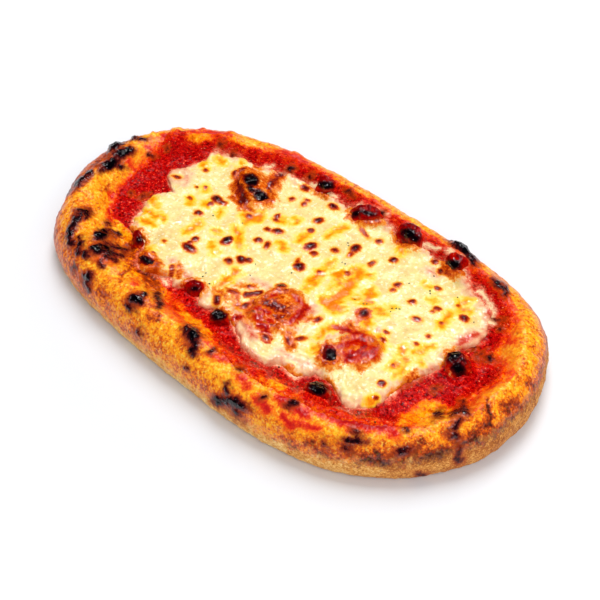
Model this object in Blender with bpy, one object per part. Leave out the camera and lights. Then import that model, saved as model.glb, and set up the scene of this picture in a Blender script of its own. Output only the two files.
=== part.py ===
"""A nduja pizzetta: an oval bread base with a puffed rim, tomato sauce, melted cheese and lumps of nduja.

The origin is at the middle of the flat underside, +X runs along the long axis and +Z is up.
Sizes are written in millimetres and become metres as each mesh is made.
A place on the pizzetta is a turn, counted from +X towards +Y, and an inset from the outline.
"""
import math

import bpy
import numpy as np
from mathutils import Vector
from mathutils.bvhtree import BVHTree

MM = 0.001

# Outline of the bread: a superellipse with soft swells and dents (turn in degrees, size in mm)
HALF_LENGTH = 120.0
HALF_WIDTH = 69.0
ROUNDNESS = 2.67
SWELL_WIDTH = 15.0
SWELL_REACH = 24.0
OUTLINE_SWELLS = (
    (180, 3.0), (-160, -2.7), (-120, -0.8), (-100, -1.8), (-80, 0.7), (-60, 0.8), (-40, -1.6), (-20, -2.9),
    (0, 1.0), (20, -1.2), (40, 1.9), (60, 0.6), (80, -1.9), (100, -1.4), (120, -0.9), (140, -0.8), (160, -0.6),
)

# Section of the bread: foot, widest part, crest of the rim and well; a lean is the change towards the -Y side
FOOT_INSET = 5.0
BULGE_HEIGHT = 8.0
CREST_INSET = 10.5
CREST_INSET_LEAN = 2.0
CREST_HEIGHT = 20.3
CREST_HEIGHT_LEAN = 0.5
WELL_INSET = 25.0
WELL_INSET_LEAN = 3.0
WELL_HEIGHT = 11.5
WELL_DOME = 1.0

# The rim is wider at the corner towards -X and -Y
CORNER_TURN = -135.0
CORNER_WIDTH = 26.0
CORNER_EXTRA = 5.0

# Uneven rise of the dough
RIPPLE_SIZE = 0.45
RIPPLE_LENGTH = 31.0

# Large blisters of the rim: turn in degrees, inset, height, half size along the rim and half size across it
BLISTERS = (
    (179.0, 9.5, 1.8, 5.5, 4.0),
    (-175.0, 12.0, 1.5, 6.5, 4.5),
    (-142.0, 11.0, 1.2, 9.0, 4.0),
    (-133.0, 18.5, 3.0, 5.5, 5.0),
    (-124.0, 12.0, 2.2, 7.0, 6.0),
    (-102.0, 9.0, 1.6, 6.0, 5.0),
    (-90.0, 11.5, 2.2, 8.0, 4.5),
    (-72.0, 10.0, 1.4, 13.0, 6.0),
    (-50.0, 8.5, 1.6, 7.0, 5.0),
    (-13.0, 9.0, 1.4, 8.0, 5.0),
    (3.0, 9.5, 1.3, 9.0, 5.0),
    (30.0, 9.0, 1.2, 16.0, 6.0),
    (55.0, 9.5, 1.8, 6.5, 4.5),
    (70.0, 8.5, 2.2, 11.0, 5.0),
    (97.0, 8.5, 1.0, 16.0, 5.0),
    (131.0, 9.5, 1.0, 8.0, 4.0),
    (152.0, 9.5, 1.1, 12.0, 5.0),
)

# Edges of the toppings, as (turn in degrees, inset in mm), with their corners rounded off
SAUCE_EDGE = (
    (-179, 20.5), (-163, 24.5), (-152, 25.5), (-142, 29), (-131, 31), (-121, 23.5), (-112, 21.5), (-104, 26),
    (-96, 18), (-91, 20), (-87, 14), (-81, 12), (-70, 12), (-45, 12), (-30, 13), (-24, 22), (-15, 27),
    (-9, 20), (-6, 14), (0, 20), (5, 14.5), (11, 14), (19, 18), (26, 20), (31, 16.5), (39, 12.5), (49, 10.5),
    (90, 10), (108, 9.5), (118, 11), (124, 12), (132, 10), (158, 10), (165, 15), (175, 19),
)
CHEESE_EDGE = (
    (-180, 37.5), (-172, 37.5), (-160, 38), (-144, 33), (-131, 36), (-121, 27.5), (-114, 25.5), (-109.5, 35),
    (-105, 31), (-101, 39), (-95.5, 31), (-91.5, 36), (-85, 25.5), (-80, 24.5), (-75, 30), (-71, 26.5),
    (-65, 34), (-57, 31), (-53, 24), (-44, 26.5), (-31, 35), (-20, 41), (-8, 41.5), (8, 39), (22, 35.5),
    (29, 27), (37, 22), (46, 17), (58, 17), (64, 14.5), (69, 13.5), (73, 17), (77, 15), (82, 18.5), (88, 14),
    (93, 17.5), (108, 17), (121, 19), (128, 17.5), (139, 17.5), (143, 22), (150, 25), (157, 29),
    (163, 27.5), (169, 32), (174, 44),
)
EDGE_SAMPLES = 720
EDGE_SOFTNESS = 5

# Thickness of the toppings, and the gap that touching pieces keep
GAP = 0.35
SAUCE_THICKNESS = 1.0
SAUCE_RIM_THICKNESS = 0.5
CHEESE_THICKNESS = 2.4
CHEESE_EDGE_STEPS = ((0.5, 0.2), (0.0, 0.9), (1.7, 1.8))
CHEESE_WAVE = 0.35
CHEESE_WAVE_LENGTH = 19.0

# Lumps of nduja: name, place x and y, half length, half width, turn of the long side in degrees, height
LUMPS = (
    ("nduja_back_west", -50.0, 31.0, 13.5, 7.5, -22.0, 4.2),
    ("nduja_back_small", -25.5, 52.0, 5.0, 3.6, 15.0, 2.8),
    ("nduja_back_curl", 0.5, 50.5, 7.5, 4.8, 20.0, 3.2),
    ("nduja_back_black", 24.5, 52.5, 7.0, 5.0, 0.0, 3.6),
    ("nduja_back_east", 51.5, 50.5, 5.0, 4.6, 0.0, 3.0),
    ("nduja_spread_middle", 12.0, -18.5, 9.5, 11.5, 12.0, 2.2),
    ("nduja_spread_east", 52.0, -13.0, 8.0, 8.0, 0.0, 1.8),
    ("nduja_front_middle", 45.5, -23.5, 5.5, 4.2, -30.0, 2.8),
    ("nduja_front_round", -4.0, -38.0, 5.0, 4.6, -20.0, 3.6),
    ("nduja_front_west", -24.0, -33.0, 4.8, 4.2, 0.0, 2.4),
    ("nduja_front_black", 54.5, -40.5, 5.0, 7.0, 12.0, 4.2),
    ("nduja_east", 86.0, 9.0, 7.5, 5.4, -42.0, 3.6),
    ("nduja_west_long", -50.0, -35.5, 6.0, 3.2, 0.0, 2.6),
    ("nduja_west_small", -65.0, -28.0, 5.0, 3.4, -25.0, 2.4),
)
LUMP_SIDES = 14
LUMP_RINGS = ((0.5, 0.0), (0.93, 0.0), (1.0, 0.22), (0.86, 0.66), (0.55, 0.94), (0.2, 1.0))
LUMP_UNEVENNESS = 0.09
LUMP_SEED = 11
SUPPORT_RADII = (0.0, 0.35, 0.7, 1.05)

# Fineness of the solids
SIDES = 112
LOWER_STEPS = 3
UPPER_STEPS = 5
SLOPE_FRACTIONS = (0.0, 0.33, 0.67, 1.0)
FLOOR_FRACTIONS = (0.22, 0.47, 0.73, 1.0)
MIDDLE_INSET = 60.0


def bump(turn, centre, width):
    """A soft bump in the turn around its centre; centre and width in degrees."""
    gap = np.angle(np.exp(1j * (turn - math.radians(centre))))
    return np.exp(-((gap / math.radians(width)) ** 2))


def swell(turn):
    """How far the outline stands out from the plain superellipse."""
    return sum(size * bump(turn, centre, SWELL_WIDTH) for centre, size in OUTLINE_SWELLS)


def half_wave(share):
    """A smooth rise from 0 to 1 while share goes from 0 to 1."""
    return 0.5 - 0.5 * np.cos(np.pi * np.clip(share, 0.0, 1.0))


def superellipse(value):
    """Cosine or sine of the turn, squared off to the outline's roundness."""
    return np.sign(value) * np.abs(value) ** (2.0 / ROUNDNESS)


def plan(turn, inset):
    """Place in plan at a turn and an inset from the outline."""
    shrink = inset - swell(turn) * (1.0 - half_wave(inset / SWELL_REACH))
    x = (HALF_LENGTH - shrink) * superellipse(np.cos(turn))
    y = (HALF_WIDTH - shrink) * superellipse(np.sin(turn))
    return x, y


def even_turns(count):
    """Turns that share the outline into equal lengths, alike on the +Y and the -Y side."""
    fine = np.linspace(0.0, math.pi, 2000)
    x = HALF_LENGTH * superellipse(np.cos(fine))
    y = HALF_WIDTH * superellipse(np.sin(fine))
    walked = np.concatenate(([0.0], np.cumsum(np.hypot(np.diff(x), np.diff(y)))))
    half = np.interp(np.linspace(0.0, walked[-1], count // 2 + 1), walked, fine)
    return np.concatenate((half, -half[-2:0:-1]))


def crest_inset(turn):
    return CREST_INSET - CREST_INSET_LEAN * np.sin(turn)


def crest_height(turn):
    return CREST_HEIGHT - CREST_HEIGHT_LEAN * np.sin(turn)


def well_inset(turn):
    corner = CORNER_EXTRA * bump(turn, CORNER_TURN, CORNER_WIDTH)
    return WELL_INSET - WELL_INSET_LEAN * np.sin(turn) + corner


def ripple(x, y, length):
    """Uneven waves between about -1 and 1, some length apart."""
    k = 2.0 * math.pi / length
    first = np.sin(k * (0.92 * x + 0.39 * y) + 0.7) * np.sin(k * (0.31 * x - 0.83 * y) + 2.1)
    second = np.sin(k * (1.63 * x - 0.71 * y) + 1.3) * np.sin(k * (0.58 * x + 1.41 * y) + 4.0)
    return first + 0.5 * second


def blister_height(turn, inset):
    """Rise of the large blisters above the even rim."""
    x, y = plan(turn, inset)
    total = np.zeros_like(x)
    for centre, depth, height, along, across in BLISTERS:
        middle = np.array(plan(np.array([math.radians(centre)]), np.array([depth])))[:, 0]
        ahead = np.array(plan(np.array([math.radians(centre + 1.0)]), np.array([depth])))[:, 0]
        run = (ahead - middle) / np.linalg.norm(ahead - middle)
        u = (x - middle[0]) * run[0] + (y - middle[1]) * run[1]
        v = (y - middle[1]) * run[0] - (x - middle[0]) * run[1]
        total += height * np.exp(-((u / along) ** 2) - (v / across) ** 2)
    return total


def bread_height(turn, inset):
    """Height of the bread's top from its widest part, over the crest and down to the well."""
    crest_in, crest_up, well_in = crest_inset(turn), crest_height(turn), well_inset(turn)
    across = np.clip(inset / crest_in, 0.0, 1.0)
    dome = BULGE_HEIGHT + (crest_up - BULGE_HEIGHT) * np.sqrt(1.0 - (1.0 - across) ** 2)
    slope = half_wave((inset - crest_in) / (well_in - crest_in))
    floor = WELL_HEIGHT + WELL_DOME * half_wave((inset - well_in) / (HALF_WIDTH - well_in))
    x, y = plan(turn, inset)
    relief = RIPPLE_SIZE * ripple(x, y, RIPPLE_LENGTH) + blister_height(turn, inset)
    return dome + (floor - crest_up) * slope + relief * across * (1.0 - slope)


def edge_inset(pairs, turn):
    """Inset of a topping's edge, from its named pairs, with the corners between them rounded off."""
    table = np.array(pairs, dtype=float)
    samples = np.arange(EDGE_SAMPLES) * (360.0 / EDGE_SAMPLES) - 180.0
    line = np.interp(samples, table[:, 0], table[:, 1], period=360.0)
    kernel = np.hanning(2 * EDGE_SOFTNESS + 3)[1:-1]
    wrapped = np.concatenate((line[-EDGE_SOFTNESS:], line, line[:EDGE_SOFTNESS]))
    soft = np.convolve(wrapped, kernel / kernel.sum(), mode="valid")
    return np.interp(np.degrees(turn), samples, soft, period=360.0)


def ring(turn, inset, height):
    """One closed ring of points at the given insets and heights."""
    x, y = plan(turn, inset)
    return np.stack([x, y, np.broadcast_to(height, x.shape)], axis=1)


def ring_faces(rings):
    """Triangles of a closed body whose rings run from its underside out, up and in to its top.

    Each four-sided patch is split from its outer corner at i to its inner corner at i + 1,
    on a top as on an underside, so that layers that lie on each other have facets alike.
    """
    sides = len(rings[0])
    reach = [np.abs(points[:, 0]).mean() for points in rings]
    faces = []
    for level in range(len(rings) - 1):
        inward = reach[level + 1] < reach[level]
        for i in range(sides):
            a = level * sides + i
            b = level * sides + (i + 1) % sides
            if inward:
                faces += [(a, b, b + sides), (a, b + sides, a + sides)]
            else:
                faces += [(a, b, a + sides), (b, b + sides, a + sides)]
    top = (len(rings) - 1) * sides
    for i in range(sides // 2):
        far = (sides - i) % sides
        for corners in ((i, i + 1, sides - i - 1), (i, sides - i - 1, far)):
            if len(set(corners)) == 3:
                faces.append(tuple(top + c for c in corners))
                faces.append(tuple(reversed(corners)))
    return faces


def finish(name, color, roughness):
    """Plain shader with the piece's colour and gloss."""
    material = bpy.data.materials.new(name)
    material.use_nodes = True
    shader = material.node_tree.nodes["Principled BSDF"]
    shader.inputs["Base Color"].default_value = (*color, 1.0)
    shader.inputs["Roughness"].default_value = roughness
    shader.inputs["Metallic"].default_value = 0.0
    material.diffuse_color = (*color, 1.0)
    return material


def closed_body(name, rings, material, parent):
    """Object made of rings of points, in millimetres, set about the middle of the outline."""
    points = (np.concatenate(rings) - outline_middle()) * MM
    mesh = bpy.data.meshes.new(name)
    mesh.from_pydata(points.tolist(), [], ring_faces(rings))
    mesh.shade_smooth()
    mesh.materials.append(material)
    body = bpy.data.objects.new(name, mesh)
    body.parent = parent
    bpy.context.scene.collection.objects.link(body)
    return body


def outline_middle():
    """Middle of the outline's box, which is where the origin goes."""
    x, y = plan(even_turns(EDGE_SAMPLES), np.zeros(EDGE_SAMPLES))
    return np.array([(x.min() + x.max()) / 2.0, (y.min() + y.max()) / 2.0, 0.0])


def topping_insets(turn):
    """Insets of the rings that the bread and the toppings share, from the sauce's edge to the middle."""
    outer, inner = edge_inset(SAUCE_EDGE, turn), edge_inset(CHEESE_EDGE, turn)
    slope = [outer + (inner - outer) * share for share in SLOPE_FRACTIONS]
    floor = [inner + (MIDDLE_INSET - inner) * share for share in FLOOR_FRACTIONS]
    return slope, floor


def bread_rings(turn):
    """Flat foot, rounded wall, crest and well of the bread."""
    rings = []
    for step in range(LOWER_STEPS):
        angle = math.radians(90.0 * (1.0 - step / LOWER_STEPS))
        inset = np.full_like(turn, FOOT_INSET * (1.0 - math.cos(angle)))
        rings.append(ring(turn, inset, BULGE_HEIGHT * (1.0 - math.sin(angle))))
    for step in range(UPPER_STEPS + 1):
        angle = math.radians(90.0 * step / UPPER_STEPS)
        inset = crest_inset(turn) * (1.0 - math.cos(angle))
        rings.append(ring(turn, inset, bread_height(turn, inset)))
    slope, floor = topping_insets(turn)
    for inset in slope + floor:
        rings.append(ring(turn, inset, bread_height(turn, inset)))
    return rings


def sauce_rings(turn):
    """A thin layer that follows the bread from its own edge to the middle."""
    slope, floor = topping_insets(turn)
    insets = slope + floor
    under = [ring(turn, inset, bread_height(turn, inset) + GAP) for inset in insets]
    over = []
    for number, inset in enumerate(insets):
        thickness = SAUCE_RIM_THICKNESS if number == 0 else SAUCE_THICKNESS
        over.append(ring(turn, inset, bread_height(turn, inset) + GAP + thickness))
    return under[::-1] + over


def cheese_base(turn, inset):
    """Height of the underside of the cheese."""
    return bread_height(turn, inset) + SAUCE_THICKNESS + 2.0 * GAP


def cheese_rings(turn):
    """A melted sheet with a lobed, rounded edge and a gently waved top."""
    slope, floor = topping_insets(turn)
    edge = slope[-1]
    under = [ring(turn, inset, cheese_base(turn, inset)) for inset in floor]
    rim = []
    for setback, rise in CHEESE_EDGE_STEPS:
        inset = edge + setback
        rim.append(ring(turn, inset, cheese_base(turn, inset) + rise))
    over = []
    for inset in floor:
        x, y = plan(turn, inset)
        wave = CHEESE_WAVE * ripple(x, y, CHEESE_WAVE_LENGTH)
        over.append(ring(turn, inset, cheese_base(turn, inset) + CHEESE_THICKNESS + wave))
    return under[::-1] + rim + over


def support_plane(trees, x, y, outline):
    """Plane just above everything that lies under a lump, as its slopes in x and y and its level."""
    middle = outline_middle()
    rows, heights = [], []
    for radius in SUPPORT_RADII:
        for dx, dy in outline * radius:
            spot = Vector(((x + dx - middle[0]) * MM, (y + dy - middle[1]) * MM, 1.0))
            hits = [tree.ray_cast(spot, Vector((0.0, 0.0, -1.0)))[0] for tree in trees]
            rows.append((dx, dy, 1.0))
            heights.append(max(hit.z for hit in hits if hit is not None) / MM)
    rows, heights = np.array(rows), np.array(heights)
    slopes = np.linalg.lstsq(rows, heights, rcond=None)[0]
    slopes[2] += np.max(heights - rows @ slopes) + GAP
    return slopes


def lump_rings(trees, x, y, half_length, half_width, turn_degrees, height, draw):
    """A low rounded lump with an uneven outline, set on what it rests on."""
    around = np.arange(LUMP_SIDES) * (2.0 * math.pi / LUMP_SIDES)
    phases = draw.uniform(0.0, 2.0 * math.pi, 2)
    reach = 1.0 + LUMP_UNEVENNESS * (np.cos(2.0 * around + phases[0]) + np.cos(3.0 * around + phases[1]))
    along, across = half_length * reach * np.cos(around), half_width * reach * np.sin(around)
    c, s = math.cos(math.radians(turn_degrees)), math.sin(math.radians(turn_degrees))
    outline = np.stack([along * c - across * s, along * s + across * c], axis=1)
    plane = support_plane(trees, x, y, outline)
    rings = []
    for radius, rise in LUMP_RINGS:
        flat = outline * radius
        level = flat @ plane[:2] + plane[2] + height * rise
        rings.append(np.stack([x + flat[:, 0], y + flat[:, 1], level], axis=1))
    return rings


def clear_scene():
    for thing in list(bpy.data.objects):
        bpy.data.objects.remove(thing, do_unlink=True)


def build():
    clear_scene()
    pizzetta = bpy.data.objects.new("pizzetta", None)
    bpy.context.scene.collection.objects.link(pizzetta)
    turn = even_turns(SIDES)

    crust = closed_body("crust", bread_rings(turn), finish("crust", (0.80, 0.36, 0.07), 0.62), pizzetta)
    sauce = closed_body("sauce", sauce_rings(turn), finish("sauce", (0.55, 0.02, 0.01), 0.35), pizzetta)
    cheese = closed_body("cheese", cheese_rings(turn), finish("cheese", (0.93, 0.80, 0.42), 0.30), pizzetta)

    graph = bpy.context.evaluated_depsgraph_get()
    trees = [BVHTree.FromObject(layer, graph) for layer in (crust, sauce, cheese)]
    charred = finish("nduja", (0.13, 0.02, 0.01), 0.28)
    draw = np.random.default_rng(LUMP_SEED)
    for name, *shape in LUMPS:
        closed_body(name, lump_rings(trees, *shape, draw), charred, pizzetta)


build()
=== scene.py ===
"""Looks of the nduja pizzetta: baked crust, sauce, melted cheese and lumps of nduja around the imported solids.

Sizes and places are in millimetres, in the axes of the part's design, and become metres as a mesh is made.
A place on the bread is a turn, counted from +X towards +Y, and an inset from its outline.
Marks such as burns and stains are placed as seen: where the camera sees them on a level plane.
"""
import math

import bpy
import numpy as np
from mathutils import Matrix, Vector, noise


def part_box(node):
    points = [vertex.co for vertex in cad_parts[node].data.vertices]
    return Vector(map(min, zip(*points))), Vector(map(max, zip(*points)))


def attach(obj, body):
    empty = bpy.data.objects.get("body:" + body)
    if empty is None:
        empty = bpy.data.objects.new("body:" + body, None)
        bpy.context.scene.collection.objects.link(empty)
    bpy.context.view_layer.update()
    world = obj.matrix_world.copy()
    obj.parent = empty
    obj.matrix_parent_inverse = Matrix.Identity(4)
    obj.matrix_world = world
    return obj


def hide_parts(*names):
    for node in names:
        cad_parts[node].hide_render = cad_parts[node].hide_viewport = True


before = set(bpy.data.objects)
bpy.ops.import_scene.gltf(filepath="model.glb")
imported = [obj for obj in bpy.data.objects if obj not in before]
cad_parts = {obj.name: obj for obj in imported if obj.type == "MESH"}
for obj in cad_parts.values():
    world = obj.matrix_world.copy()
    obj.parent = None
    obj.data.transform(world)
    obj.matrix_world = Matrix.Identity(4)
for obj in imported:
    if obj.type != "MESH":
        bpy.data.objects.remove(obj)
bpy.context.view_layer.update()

MM = 0.001

# Camera, in the axes of the design
CAMERA_TARGET = np.array([10.4, -3.5, 10.0])
CAMERA_TURN = 42.75
CAMERA_RISE = 45.0
CAMERA_DISTANCE = 600.0
CAMERA_LENS = 84.1
CAMERA_SENSOR = 36.0
SEEN_LEVEL = 14.0

# Outline of the bread: a superellipse with soft swells and dents (turn in degrees, size in mm)
HALF_LENGTH = 120.0
HALF_WIDTH = 69.0
ROUNDNESS = 2.67
SWELL_WIDTH = 15.0
SWELL_REACH = 24.0
OUTLINE_SWELLS = (
    (180, 3), (-160, -2.7), (-120, -0.8), (-100, -1.8), (-80, 0.7), (-60, 0.8), (-40, -1.6), (-20, -2.9),
    (0, 1), (20, -1.2), (40, 1.9), (60, 0.6), (80, -1.9), (100, -1.4), (120, -0.9), (140, -0.8), (160, -0.6),
)

# Section of the bread: foot, widest part, crest of the rim and well; a lean is the change towards the -Y side
FOOT_INSET = 5.0
BULGE_HEIGHT = 8.0
CREST_INSET = 10.5
CREST_INSET_LEAN = 2.0
CREST_HEIGHT = 20.3
CREST_HEIGHT_LEAN = 0.5
WELL_INSET = 25.0
WELL_INSET_LEAN = 3.0
WELL_HEIGHT = 11.5
WELL_DOME = 1.0
CORNER_TURN = -135.0
CORNER_WIDTH = 26.0
CORNER_EXTRA = 5.0
RIPPLE_SIZE = 0.45
RIPPLE_LENGTH = 31.0
LUMPY_SIZE = 0.75
LUMPY_LENGTH = 15.0
LUMPY_FROM = 6.0
LUMPY_TO = 34.0

# Large blisters of the rim: turn in degrees, inset, height, half size along the rim and half size across it
BLISTERS = (
    (179, 9.5, 1.8, 5.5, 4), (-175, 12, 1.5, 6.5, 4.5), (-142, 11, 1.2, 9, 4), (-133, 18.5, 3, 5.5, 5),
    (-124, 12, 2.2, 7, 6), (-102, 9, 1.6, 6, 5), (-90, 11.5, 2.2, 8, 4.5), (-72, 10, 1.4, 13, 6),
    (-50, 8.5, 1.6, 7, 5), (-13, 9, 1.4, 8, 5), (3, 9.5, 1.3, 9, 5), (30, 9, 1.2, 16, 6),
    (55, 9.5, 1.8, 6.5, 4.5), (70, 8.5, 2.2, 11, 5), (97, 8.5, 1, 16, 5), (131, 9.5, 1, 8, 4),
    (152, 9.5, 1.1, 12, 5),
)

# Edges of the toppings, as (turn in degrees, inset in mm), with their corners rounded off
SAUCE_EDGE = (
    (-179, 20.5), (-163, 24.5), (-152, 25.5), (-142, 29), (-131, 31), (-121, 23.5), (-112, 21.5), (-104, 26),
    (-96, 18), (-91, 20), (-87, 14), (-81, 12), (-70, 12), (-45, 12), (-30, 13), (-24, 22), (-15, 27),
    (-9, 20), (-6, 14), (0, 20), (5, 14.5), (11, 14), (19, 18), (26, 20), (31, 16.5), (39, 12.5), (49, 10.5),
    (90, 10), (108, 9.5), (118, 11), (124, 12), (132, 10), (158, 10), (165, 15), (175, 19),
)
CHEESE_EDGE = (
    (-180, 37.5), (-172, 37.5), (-160, 38), (-144, 33), (-131, 36), (-121, 27.5), (-114, 25.5), (-109.5, 35),
    (-105, 31), (-101, 39), (-95.5, 31), (-91.5, 36), (-85, 25.5), (-80, 24.5), (-75, 30), (-71, 26.5),
    (-65, 34), (-57, 31), (-53, 24), (-44, 26.5), (-31, 35), (-20, 41), (-8, 41.5), (8, 39), (22, 35.5),
    (29, 27), (37, 22), (46, 17), (58, 17), (64, 14.5), (69, 13.5), (73, 17), (77, 15), (82, 18.5), (88, 14),
    (93, 17.5), (108, 17), (121, 19), (128, 17.5), (139, 17.5), (143, 22), (150, 25), (157, 29), (163, 27.5),
    (169, 32), (174, 44),
)
EDGE_SAMPLES = 720
EDGE_SOFTNESS = 5
GAP = 0.35
SAUCE_THICKNESS = 1.0
CHEESE_THICKNESS = 2.4
CHEESE_WAVE = 0.35
CHEESE_WAVE_LENGTH = 19.0

# Lumps of nduja in plan: place, half length, half width and turn; the last two melted flat
LUMPS = (
    (-50, 31, 13.5, 7.5, -22), (-25.5, 52, 5, 3.6, 15), (0.5, 50.5, 7.5, 4.8, 20), (24.5, 52.5, 7, 5),
    (51.5, 50.5, 5, 4.6), (45.5, -23.5, 5.5, 4.2, -30), (-4, -38, 5, 4.6, -20), (-24, -33, 4.8, 4.2),
    (54.5, -40.5, 5, 7, 12), (86, 9, 7.5, 5.4, -42), (-50, -35.5, 6, 3.2), (-65, -28, 5, 3.4, -25),
    (12, -18.5, 9.5, 11.5, 12), (52, -13, 8, 8),
)
# Lumps whose fat browned them
BROWN_LUMPS = ("nduja_back_west", "nduja_spread_middle", "nduja_spread_east")

# Fineness of the visible meshes: points of each ring, and rings
CRUST_SIDES = 1000
SAUCE_SIDES = 1000
CHEESE_SIDES = 720
UNDERSIDE_RINGS = 6
WALL_RINGS = 16
CREST_RINGS = 28
SLOPE_RINGS = 40
HIDDEN_RINGS = 4
SAUCE_RINGS = 34
CHEESE_RINGS = 62
# Insets where the bread's fine rings end and where all rings end
DENSE_INSET = 36.0
MIDDLE_INSET = 68.5
# Distance of a place that is nowhere near a mark
FAR = 30.0

# Noise that moves marks about: how far apart its bumps are, how far it moves a mark, and a seed
BURN_WARPS = ((3.2, 1.3, 4), (1.3, 0.5, 40))
BARE_WARP = (4.0, 2.0, 30)
MARK_WARP = (2.0, 0.45, 17)
LOOSE_WARP = (3.4, 1.5, 19)
FOLD_WARP = (2.0, 0.6, 17)
CHAR_WARP = (2.4, 0.6, 26)
BED_WARP = (2.4, 0.8, 28)
LUMP_WARP = (4.5, 1.2, 32)

# Noises of each surface, from coarse to fine: how far apart the bumps are, a seed and octaves
DOUGH_NOISE = ((5.0, 1, 3), (1.6, 2, 3), (0.9, 3, 2))
PULP_NOISE = ((4.2, 8, 3), (1.7, 9, 3), (0.8, 10, 2))
CHEESE_NOISE = ((6.5, 14, 3), (2.2, 15, 3), (1.0, 16, 2))
LUMP_NOISE = ((3.0, 22, 3), (1.6, 23, 3))

# Relief of the bread: heights of its noises, of burns and their cracks, creases, knobs; flat near the floor
DOUGH_RELIEF = (0.45, 0.16, 0.03)
BURN_HEIGHT = 0.8
BURN_CRACKS = 0.20
CREASE_DEPTH = 0.5
KNOB_HEIGHT = 0.9
FLAT_FOOT = 3.0

# Relief of the sauce: heights of its noises, of burns, and of the swell round a lump
PULP_RELIEF = (0.28, 0.30, 0.04)
SAUCE_BURN_HEIGHT = 0.6
SAUCE_SWELL = 1.0

# Relief of the cheese: heights of its noises, folds, brown blisters, rings, and of the swell round a lump
CHEESE_RELIEF = (0.50, 0.17, 0.02)
FOLD_HEIGHT = 0.7
SPOT_HEIGHT = 0.7
SPOT_CRACKS = 0.08
RING_HEIGHT = 0.6
OIL_DEPTH = 0.15
CHEESE_SWELL = 1.6

# Relief of the lumps, and how far each and its foot are let down into what carries it
LUMP_RELIEF = 0.40
MELTED_RELIEF = 0.12
LUMP_GRAIN = 0.07
LUMP_SINK = 0.9
FOOT_SINK = 1.6
# Length from which a lump is made finer, and distance within which its points are joined
LARGE_LUMP = 15.0
WELD_DISTANCE = 0.01

# Ragged rims of the toppings: how far apart the notches are, a seed and how deep they are
SAUCE_FRAY = ((4.0, 6, 0.9),)
CHEESE_FRAY = ((4.2, 12, 1.2), (1.8, 13, 0.4))
# Rounded edges: share of the thickness that is cut and its reach, then what is tucked in and its reach
SAUCE_PROFILE = (1.0, 1.6, 0.25, 0.5)
CHEESE_PROFILE = (0.75, 2.2, 0.7, 0.4)
# How far the sauce goes past its edge, how far its fine rings go under the cheese, how deep undersides sink in
SAUCE_REACH = 0.5
SAUCE_DENSE = 5.0
UNDER_DEPTH = 0.6
# How many rings above there are to one below, and how much rings of the cheese crowd towards its edge
SAUCE_UNDER_STEP = 3
CHEESE_UNDER_STEP = 5
CHEESE_CROWDING = 1.25

# How much noise, bare bread and thin sauce change the sauce's red, and how far oil and flour wander
REDNESS_UNEVEN = 0.9
BARE_WEIGHT = 5.0
THIN_WEIGHT = 2.8
OIL_SPREAD = 0.9
FLOUR_COARSE = 2.4
FLOUR_FINE = 1.2

# Lights: name, turn from the camera's side, rise, distance and size in metres, watts, mirrored or not
LIGHTS = (
    ("overhead", 172.0, 74.0, 1.6, 0.8, 13.4, False),
    ("behind", 168.0, 52.0, 1.4, 0.5, 5.2, False),
    ("front", 12.0, 44.0, 1.3, 0.8, 6.4, False),
    ("side", 75.0, 35.0, 1.3, 0.8, 1.4, False),
    ("left", -70.0, 32.0, 1.3, 0.8, 0.9, False),
    ("shine", 178.0, 76.0, 1.3, 0.18, 3.2, True),
    ("shine_low", 155.0, 46.0, 1.3, 0.10, 0.8, True),
    ("shine_left", 205.0, 56.0, 1.3, 0.12, 1.1, True),
)
SURROUND_STRENGTH = 0.32

# Floor: how far it reaches, in metres, and how far below the part it is; how deep light goes into the cheese
FLOOR_REACH = 6.0
FLOOR_DROP = 0.02
CREAM_DEPTH = 1.5

# How far the sauce's red fades into the bread on each side of its edge: turn in degrees, width in mm
SAUCE_FADE = (
    (-180, 1), (-150, 1.2), (-128, 2.5), (-115, 3.5), (-100, 4.5), (-85, 5.5), (-60, 5), (-40, 4.4), (-20, 5),
    (0, 3.4), (20, 2.6), (40, 2.4), (90, 3), (125, 3.6), (150, 4.4), (168, 2.4),
)
# How the crust changes round the rim: turn in degrees, share of the wall's height that is floury, browning
WALL_LOOK = (
    (-180, 0.10, 0.50), (-150, 0.14, 0.44), (-125, 0.26, 0.36), (-90, 0.42, 0.16), (-60, 0.48, 0.26),
    (-30, 0.62, 0.75), (0, 0.72, 0.78), (30, 0.66, 0.60), (60, 0.45, 0.30), (100, 0.35, 0.25),
    (140, 0.22, 0.45), (165, 0.10, 0.75),
)

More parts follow.
